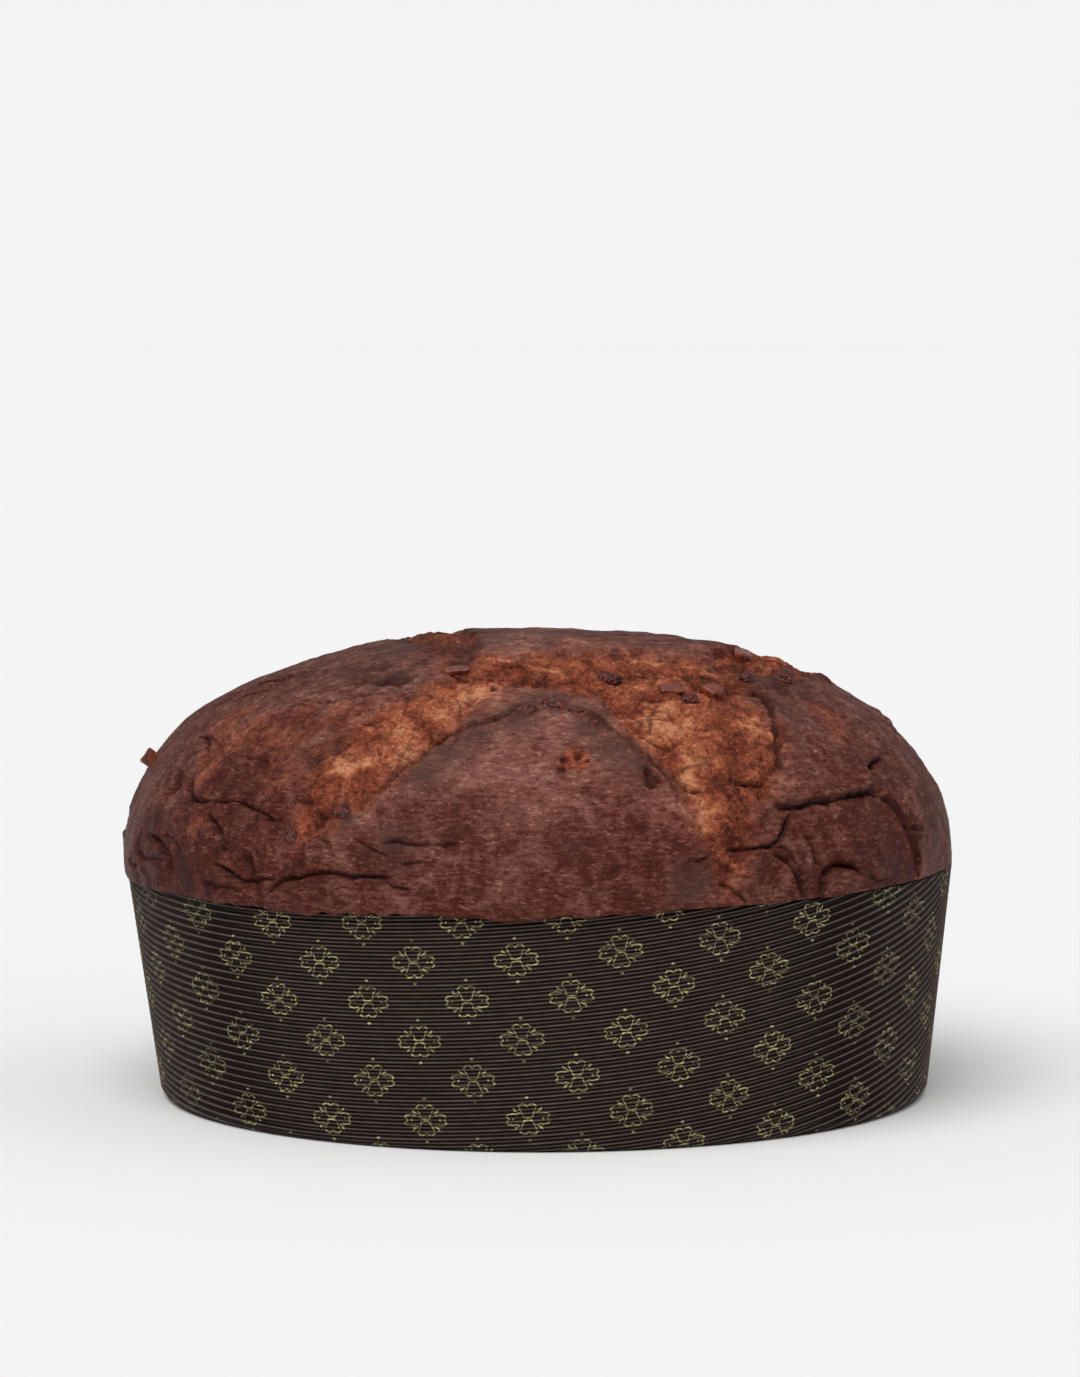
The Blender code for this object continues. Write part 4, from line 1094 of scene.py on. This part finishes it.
def bend_strip(u, v):
    """The point for u from -1 to 1 round the wall, and v across the ridges in metres."""
    sweep = u * HALF_SWEEP
    slant = v / np.cos(sweep)
    azimuth = SEAM_AZIMUTH - math.pi + u * math.pi
    height = (slant - BASE_SLANT) * math.cos(TAPER)
    phase = 2 * math.pi * v / RIDGE_PITCH
    ridge = 0.5 + 0.5 * ((1.0 - TROUGH_SHARE) * np.cos(phase) + TROUGH_SHARE * np.cos(2 * phase))
    radius = BASE_RADIUS + height * math.tan(TAPER) - RIDGE_DEPTH * (1.0 - ridge)
    return np.stack([radius * np.sin(azimuth), -radius * np.cos(azimuth), height], axis=-1)


def lean(points):
    """Moves points of an upright mould on to the real one, whose wall leans and whose rim is tilted."""
    share = points[:, 2] / RIM_HEIGHT
    moved = points.copy()
    moved[:, 2] += math.tan(RIM_TILT) * points[:, 0] * share
    moved[:, 0] += RIM_SHIFT * share
    return moved


lowest_row = math.floor(BASE_SLANT * math.cos(HALF_SWEEP) / RIDGE_PITCH) * RIDGE_PITCH
row_count = math.ceil((RIM_SLANT - lowest_row) / RIDGE_PITCH) * ROWS_PER_RIDGE
select_only()
bpy.ops.mesh.primitive_grid_add(x_subdivisions=STRIP_COLUMNS, y_subdivisions=row_count, size=2)
mould = named("paper_mould")
flat = read_points(mould)
rows_up = (flat[:, 1] + 1) / 2 * row_count * RIDGE_PITCH / ROWS_PER_RIDGE
write_points(mould, bend_strip(flat[:, 0], lowest_row + rows_up))
edit_mode()
for height, outward in ((RIM_HEIGHT, (0, 0, 1)), (WALL_FOOT, (0, 0, -1))):
    bpy.ops.mesh.select_all(action="SELECT")
    bpy.ops.mesh.bisect(plane_co=(0, 0, height), plane_no=outward, clear_outer=True, threshold=FINE)
bpy.ops.mesh.select_all(action="SELECT")
bpy.ops.mesh.remove_doubles(threshold=SAME_PLACE)
object_mode()
print("ridged wall:", len(mould.data.polygons), "faces")


# %% The rim, the inside and the base
ROUND_STEPS = np.radians([20, 45, 70, 90])  # turns at which the round edge under the base gets a ring
CREASED_FROM = math.radians(55)  # a sharper edge than this is shaded as one, such as the rim


def choose_ring(piece, height, tolerance=0.03 * MM):
    """Selects the open edges that lie at one height."""
    edit_mode()
    open_edge_loop()
    object_mode()
    level = np.abs(read_points(piece)[:, 2] - height) < tolerance
    chosen = selected_vertices(piece) & level
    edges = np.array([edge.vertices[:] for edge in piece.data.edges])
    picked = read_all(piece.data.edges, "select", kind=bool)
    piece.data.edges.foreach_set("select", picked & chosen[edges].all(axis=1))
    piece.data.vertices.foreach_set("select", chosen)


def extrude_ring(piece, radius, height):
    """Extrudes the selected ring to a new radius and height, about the mould's axis."""
    extrude_in_place()
    points, chosen = read_points(piece), selected_vertices(piece)
    lengths = np.hypot(points[chosen, 0], points[chosen, 1])
    points[chosen, :2] *= (radius / lengths)[:, None]
    points[chosen, 2] = height
    write_points(piece, points)


def wall_radius(height):
    return BASE_RADIUS + (RIM_RADIUS - BASE_RADIUS) * height / RIM_HEIGHT


choose_ring(mould, RIM_HEIGHT)
extrude_ring(mould, RIM_RADIUS - PAPER, RIM_HEIGHT)
extrude_ring(mould, wall_radius(BASE_ROUND) - PAPER, BASE_ROUND)
extrude_ring(mould, BASE_RADIUS - BASE_ROUND - PAPER, PAPER)
edit_mode()
bpy.ops.mesh.edge_face_add()
object_mode()
choose_ring(mould, WALL_FOOT)
for turn in ROUND_STEPS:
    extrude_ring(mould, BASE_RADIUS - BASE_ROUND * (1 - math.cos(turn)), BASE_ROUND * (1 - math.sin(turn)))
edit_mode()
bpy.ops.mesh.edge_face_add()
bpy.ops.mesh.select_all(action="SELECT")
bpy.ops.mesh.normals_make_consistent(inside=False)
object_mode()
print("paper mould:", sum(len(face.vertices) - 2 for face in mould.data.polygons), "triangles")

# %% Where each point lies on the flat strip
def strip_places(points):
    """Distance along and across the flat strip in mm, from the base's edge opposite the seam."""
    azimuth = np.arctan2(points[:, 0], -points[:, 1])
    turn = (azimuth - SEAM_AZIMUTH) % (2 * math.pi) - math.pi
    slant = BASE_SLANT + points[:, 2] / math.cos(TAPER)
    sweep = turn * math.sin(TAPER)
    return slant * np.sin(sweep) / MM, (slant * np.cos(sweep) - BASE_SLANT) / MM


along, across = strip_places(read_points(mould))
keep_values(mould, "along", along)
keep_values(mould, "across", across)
write_points(mould, lean(read_points(mould)))
mould.data.shade_smooth()
select_only(mould)
bpy.ops.object.shade_smooth_by_angle(angle=CREASED_FROM)
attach(mould, "root")
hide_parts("mould")

# %% [markdown]
# ## The print on the paper
#
# The dark paper is printed with small gold blossoms in staggered rows. Drawing every one of them as
# geometry would be wasteful, so the material draws one: the place on the strip is folded until every
# blossom falls on the same quarter, and a few strokes and dots make that quarter. The ridges get painted
# highlight lines with painted shade between them, two lines a ridge in front and one at the sides. The ink
# is strong on the ridges and weak at the bottoms of the grooves, dimmed by that painted shade.

# %% The paper's material
BLOSSOM_ACROSS = 26.9  # mm between blossoms of a row
BLOSSOM_UP = 21.05  # mm between blossoms of a column
FIRST_BLOSSOM = (20.53, 18.82)  # along and across the strip, in mm
PRINT_TILT = math.radians(1.25)  # the print runs a little askew to the ridges
# along the base's edge, in mm, from opposite the seam to the front
FRONT_ALONG = BASE_SLANT * math.sin((math.pi - SEAM_AZIMUTH) * math.sin(TAPER)) / MM
# in mm from the front: the print was pulled wider where the strip was bent, and sags towards both sides
STRETCH_FROM, STRETCH_TO, STRETCH = 50, 150, 8.0
SAG_FROM, SAG_TO, SAG_LEFT, SAG_RIGHT = 20, 115, 3.6, 1.8
INK = srgb(186, 176, 124)
# the paper's brown deepened by painted shade in the grooves, and painted highlights on the ridges
PAPER_IN_SHADE = srgb(17, 10, 8)
PAPER_HIGHLIGHT = srgb(99, 83, 75)
TROUGH_HIGHLIGHT = 0.72  # the painted highlight line in each trough is weaker than the one on the crest
TURNED_FROM, TURNED_TO = 60, 120  # mm from the front, over which the paper turns to the side and the painted highlights go from two lines a ridge to one
PRINT_SIDE_SHADE = 0.35  # painted shade: by so much the print is darker there


def stroke(x, y, start, end, width):
    """1 on a straight stroke with round ends, 0 off it. Lengths are in mm."""
    (x0, y0), (x1, y1) = start, end
    dx, dy = x1 - x0, y1 - y0
    length2 = dx * dx + dy * dy
    share = (((x - x0) * dx + (y - y0) * dy) / length2).high(0.0).low(1.0)
    off_x, off_y = x - x0 - share * dx, y - y0 - share * dy
    return (off_x * off_x + off_y * off_y).math("SQRT").ramp(width, width * 0.45)


def blossom(x, y):
    """Four open heart-shaped petals. x and y are from 0 up, so a stroke shows in all four quarters."""
    strokes = [
        ((0.0, 3.35), (0.6, 3.95), 0.20),  # the upper petal's notch, its lobe and its side
        ((0.6, 3.95), (1.55, 4.05), 0.24),
        ((1.55, 4.05), (2.25, 3.45), 0.28),
        ((2.05, 2.7), (1.35, 1.2), 0.20),
        ((2.8, 1.35), (3.9, 1.55), 0.20),  # the side petal
        ((3.9, 1.55), (5.1, 1.35), 0.22),
        ((5.1, 1.35), (5.6, 0.8), 0.26),
        ((5.6, 0.7), (4.9, 0.05), 0.20),
        ((3.8, 0.0), (4.0, 0.0), 0.30),
        ((2.3, 1.65), (3.6, 2.75), 0.24),  # two strokes between the petals
        ((3.0, 2.0), (3.5, 2.2), 0.18),
        ((0.0, 0.3), (1.1, 0.4), 0.22),  # the middle
        ((0.3, 0.2), (1.4, 0.8), 0.18),
        ((0.0, 5.7), (0.15, 5.7), 0.42),  # the dot above
    ]
    total = stroke(x, y, *strokes[0])
    for one in strokes[1:]:
        total = total.high(stroke(x, y, *one))
    return total


def paper_finish():
    finish = Finish("ridged_paper", IOR=1.45, Specular_IOR_Level=0.08)
    along, across = finish.attribute("along"), finish.attribute("across")
    half_x, half_y = BLOSSOM_ACROSS / 2, BLOSSOM_UP / 2
    side = along - FRONT_ALONG
    pulled = side.ramp(STRETCH_FROM, STRETCH_TO) - side.ramp(-STRETCH_FROM, -STRETCH_TO)
    laid = along - pulled * STRETCH
    print_along = laid * math.cos(PRINT_TILT) - across * math.sin(PRINT_TILT)
    sagged = side.ramp(-SAG_FROM, -SAG_TO) * SAG_LEFT + side.ramp(SAG_FROM, SAG_TO) * SAG_RIGHT
    print_across = laid * math.sin(PRINT_TILT) + across * math.cos(PRINT_TILT) + sagged
    x = abs((print_along - FIRST_BLOSSOM[0] + half_x) % BLOSSOM_ACROSS - half_x)
    y = abs((print_across - FIRST_BLOSSOM[1] + half_y) % BLOSSOM_UP - half_y)
    other = (x / half_x + y / half_y) > 1.0
    x, y = abs(other * half_x - x), abs(other * half_y - y)
    # painted light and shade on the ridges: in front a highlight on each crest and a weaker one in each
    # trough, at the sides one on each crest
    phase = (across + BASE_SLANT / MM) * (2 * math.pi * MM / RIDGE_PITCH)
    front_ridge_shading = (phase * 2.0).math("COSINE") * phase.math("COSINE").ramp(-1.0, 0.2, TROUGH_HIGHLIGHT, 1.0)
    turned = abs(side).ramp(TURNED_FROM, TURNED_TO)
    ridge_shading = front_ridge_shading * (1.0 - turned) + phase.math("COSINE") * turned
    wear = finish.speckle(1.2 * MM, stretch=(1.0, 1.0, 1.4), detail=3.0)
    # the ink is dimmed where the painted ridge shading is dark
    ink = blossom(x, y) * ridge_shading.ramp(-0.9, 0.2, 0.3, 1.0) * wear.ramp(0.38, 0.56, 0.25, 1.0)
    # painted shade on the print where the paper turns to the side
    ink = ink * (1.0 - turned * PRINT_SIDE_SHADE)
    fibre = finish.speckle(5 * MM, stretch=(1.0, 1.0, 5.0), detail=4.0, rough=0.6)
    # the paper's colour goes from painted shade to painted highlight with the ridge shading
    paper = finish.blend(ridge_shading.ramp(-0.2, 1.0) * (fibre.ramp(0.3, 0.7) * 0.4 + 0.6), PAPER_IN_SHADE, PAPER_HIGHLIGHT)
    finish.feed("Base Color", finish.blend(ink, paper, INK))
    finish.feed("Roughness", fibre * 0.16 - ink * 0.08 + 0.5)
    finish.bump(finish.speckle(0.5 * MM, detail=2.0), 0.06 * MM, 0.5)
    return finish.material


mould.data.materials.append(paper_finish())

# %% [markdown]
# ## Raisins and candied peel
#
# The fruit at the crust baked hardest: the raisins are nearly black, shrivelled and a little shiny, and
# the peel is amber and clearer. Each piece is modelled by itself, brought to its real size, and set at the
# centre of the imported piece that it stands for, in that piece's pocket.

# %% Setting a piece of fruit on the crust
def crust_frame(azimuth_deg, reach_mm, turn_deg, centre):
    """The matrix that sets a piece at its centre, with its own Z along the crust's normal."""
    _, normal = dome_point(np.radians([azimuth_deg]), np.array([reach_mm * MM]))
    up = Vector(normal[0])
    azimuth = math.radians(azimuth_deg)
    across = Vector((math.cos(azimuth), math.sin(azimuth), 0.0))
    along = up.cross(across).normalized()
    turned = Matrix((across, along, up)).transposed() @ Matrix.Rotation(math.radians(turn_deg), 3, "Z")
    return Matrix.Translation(centre) @ turned.to_4x4()


def make_pieces(rows, joined_name, make_one):
    """Models each row's piece, sets it where its node is, and joins them all."""
    made = []
    for index, (node, azimuth_deg, reach_mm, length, width, height, turn) in enumerate(rows):
        low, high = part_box(node)
        select_only()
        piece = make_one(index)
        points = read_points(piece) * (np.array([length, width, height]) / 2 * MM)
        matrix = np.array(crust_frame(azimuth_deg, reach_mm, turn, (low + high) / 2))
        write_points(piece, points @ matrix[:3, :3].T + matrix[:3, 3])
        piece.data.shade_smooth()
        made.append(piece)
    select_only(made[0])
    for piece in made:
        piece.select_set(True)
    bpy.ops.object.join()
    return named(joined_name)


# %% Raisins
RAISIN_SUBDIVISIONS = 5
RAISIN_STRETCH = np.array([0.55, 1.0, 1.0])  # the wrinkles run along the raisin


def shrivelled_ball(index):
    """A ball of about radius 1, wrinkled as a dried grape is. Each index gives other wrinkles."""
    bpy.ops.mesh.primitive_ico_sphere_add(subdivisions=RAISIN_SUBDIVISIONS, radius=1.0)
    ball = bpy.context.object
    points = read_points(ball)
    seed = 1.7 * index + 0.5
    wrinkles = (1.0 - np.abs(lumps(points * RAISIN_STRETCH, 0.42, seed))) ** 3
    dents = lumps(points, 0.95, seed + 7.0)
    size = 0.97 + 0.10 * dents - 0.20 * wrinkles + 0.03 * lumps(points, 0.16, seed + 3.0)
    write_points(ball, points * size[:, None])
    return ball


raisins = make_pieces(RAISINS, "raisins", shrivelled_ball)
print("raisins:", len(RAISINS), "with", len(raisins.data.polygons), "triangles")


# %% Candied peel
BLOCK_SIZE = 1.9
BLOCK_BEVEL = 0.24


def sticky_block(index):
    """A cube of about size 2 with soft edges and uneven sides. Each index gives another one."""
    bpy.ops.mesh.primitive_cube_add(size=BLOCK_SIZE)
    block = bpy.context.object
    edit_mode()
    bpy.ops.mesh.select_all(action="SELECT")
    bpy.ops.mesh.bevel(offset=BLOCK_BEVEL, segments=4, affect="EDGES")
    bpy.ops.mesh.subdivide(number_cuts=3)
    object_mode()
    points = read_points(block)
    seed = 2.3 * index + 11.0
    size = 0.96 + 0.11 * lumps(points, 1.0, seed) + 0.05 * lumps(points, 0.35, seed + 2.0)
    write_points(block, points * size[:, None])
    return block


peel = make_pieces(PEEL_CUBES, "candied_peel", sticky_block)
print("pieces of peel:", len(PEEL_CUBES), "with", len(peel.data.polygons), "faces")


# %% The fruit's materials
RAISIN_DARK, RAISIN_RED = srgb(36, 11, 9), srgb(112, 40, 28)
PEEL_DARK, PEEL_AMBER = srgb(66, 22, 13), srgb(132, 56, 30)


def raisin_finish():
    finish = Finish("baked_raisin", IOR=1.48, Specular_IOR_Level=0.3)
    skin = finish.speckle(1.1 * MM, detail=3.0)
    finish.feed("Base Color", finish.blend(skin.ramp(0.35, 0.7), RAISIN_DARK, RAISIN_RED))
    finish.feed("Roughness", skin * 0.25 + 0.28)
    finish.bump(skin, 0.15 * MM, 0.7)
    return finish.material


def peel_finish():
    finish = Finish("candied_peel", IOR=1.5, Subsurface_Weight=0.12, Subsurface_Scale=0.002)
    cloud = finish.speckle(1.8 * MM, detail=2.0)
    finish.feed("Base Color", finish.blend(cloud.ramp(0.3, 0.7), PEEL_DARK, PEEL_AMBER))
    finish.feed("Roughness", cloud * 0.25 + 0.2)
    finish.bump(cloud, 0.15 * MM, 0.4)
    return finish.material


for piece, material, slot, rows in (
    (raisins, raisin_finish(), "raisin", RAISINS),
    (peel, peel_finish(), "peel", PEEL_CUBES),
):
    piece.data.materials.clear()
    piece.data.materials.append(material)
    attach(piece, "root")
    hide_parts(*(row[0] for row in rows))

# %% [markdown]
# ## Floor and light
#
# The loaf stands on a plain pale floor under soft studio light. Sun lamps with a very wide angle light
# the floor evenly, however large it is, and their shadows are as soft as a softbox's. One as wide as the
# sky fills the shadows, a narrower one from above the camera, on the left, draws the ridges and folds, and a
# weak one lights the right side.

# %% The floor
FLOOR_SIZE = 24.0
FLOOR_GREY = (0.85, 0.85, 0.85, 1.0)
select_only()
bpy.ops.mesh.primitive_plane_add(size=FLOOR_SIZE)
floor = named("floor")
floor_paint = Finish("floor", Base_Color=FLOOR_GREY, Roughness=1.0, Specular_IOR_Level=0.0)
floor.data.materials.append(floor_paint.material)

# %% The light
PALE = srgb(243, 243, 243)
# name, then azimuth, elevation and width in degrees, and strength
LAMPS = [("sky", 0, 90, 178, 1.25), ("key", -25, 58, 50, 2.1), ("fill", 60, 40, 90, 0.5)]


def add_sun(name, azimuth_deg, elevation_deg, width_deg, strength):
    """A lamp far away. Azimuth is from the front, growing to the right, as for the crust."""
    bpy.ops.object.light_add(type="SUN")
    lamp = bpy.context.object
    lamp.name = name
    lamp.data.angle = math.radians(width_deg)
    lamp.data.energy = strength
    azimuth, elevation = math.radians(azimuth_deg), math.radians(elevation_deg)
    level = math.cos(elevation)
    toward = Vector((level * math.sin(azimuth), -level * math.cos(azimuth), math.sin(elevation)))
    lamp.rotation_euler = toward.to_track_quat("Z", "Y").to_euler()


# only the camera sees the surround, which lights nothing
world = bpy.data.worlds.new("surround")
world.use_nodes = True
world.node_tree.nodes["Background"].inputs["Color"].default_value = PALE
world.cycles_visibility.diffuse = False
world.cycles_visibility.glossy = False
bpy.context.scene.world = world
for lamp in LAMPS:
    add_sun(*lamp)
bpy.context.scene.view_settings.view_transform = "Standard"
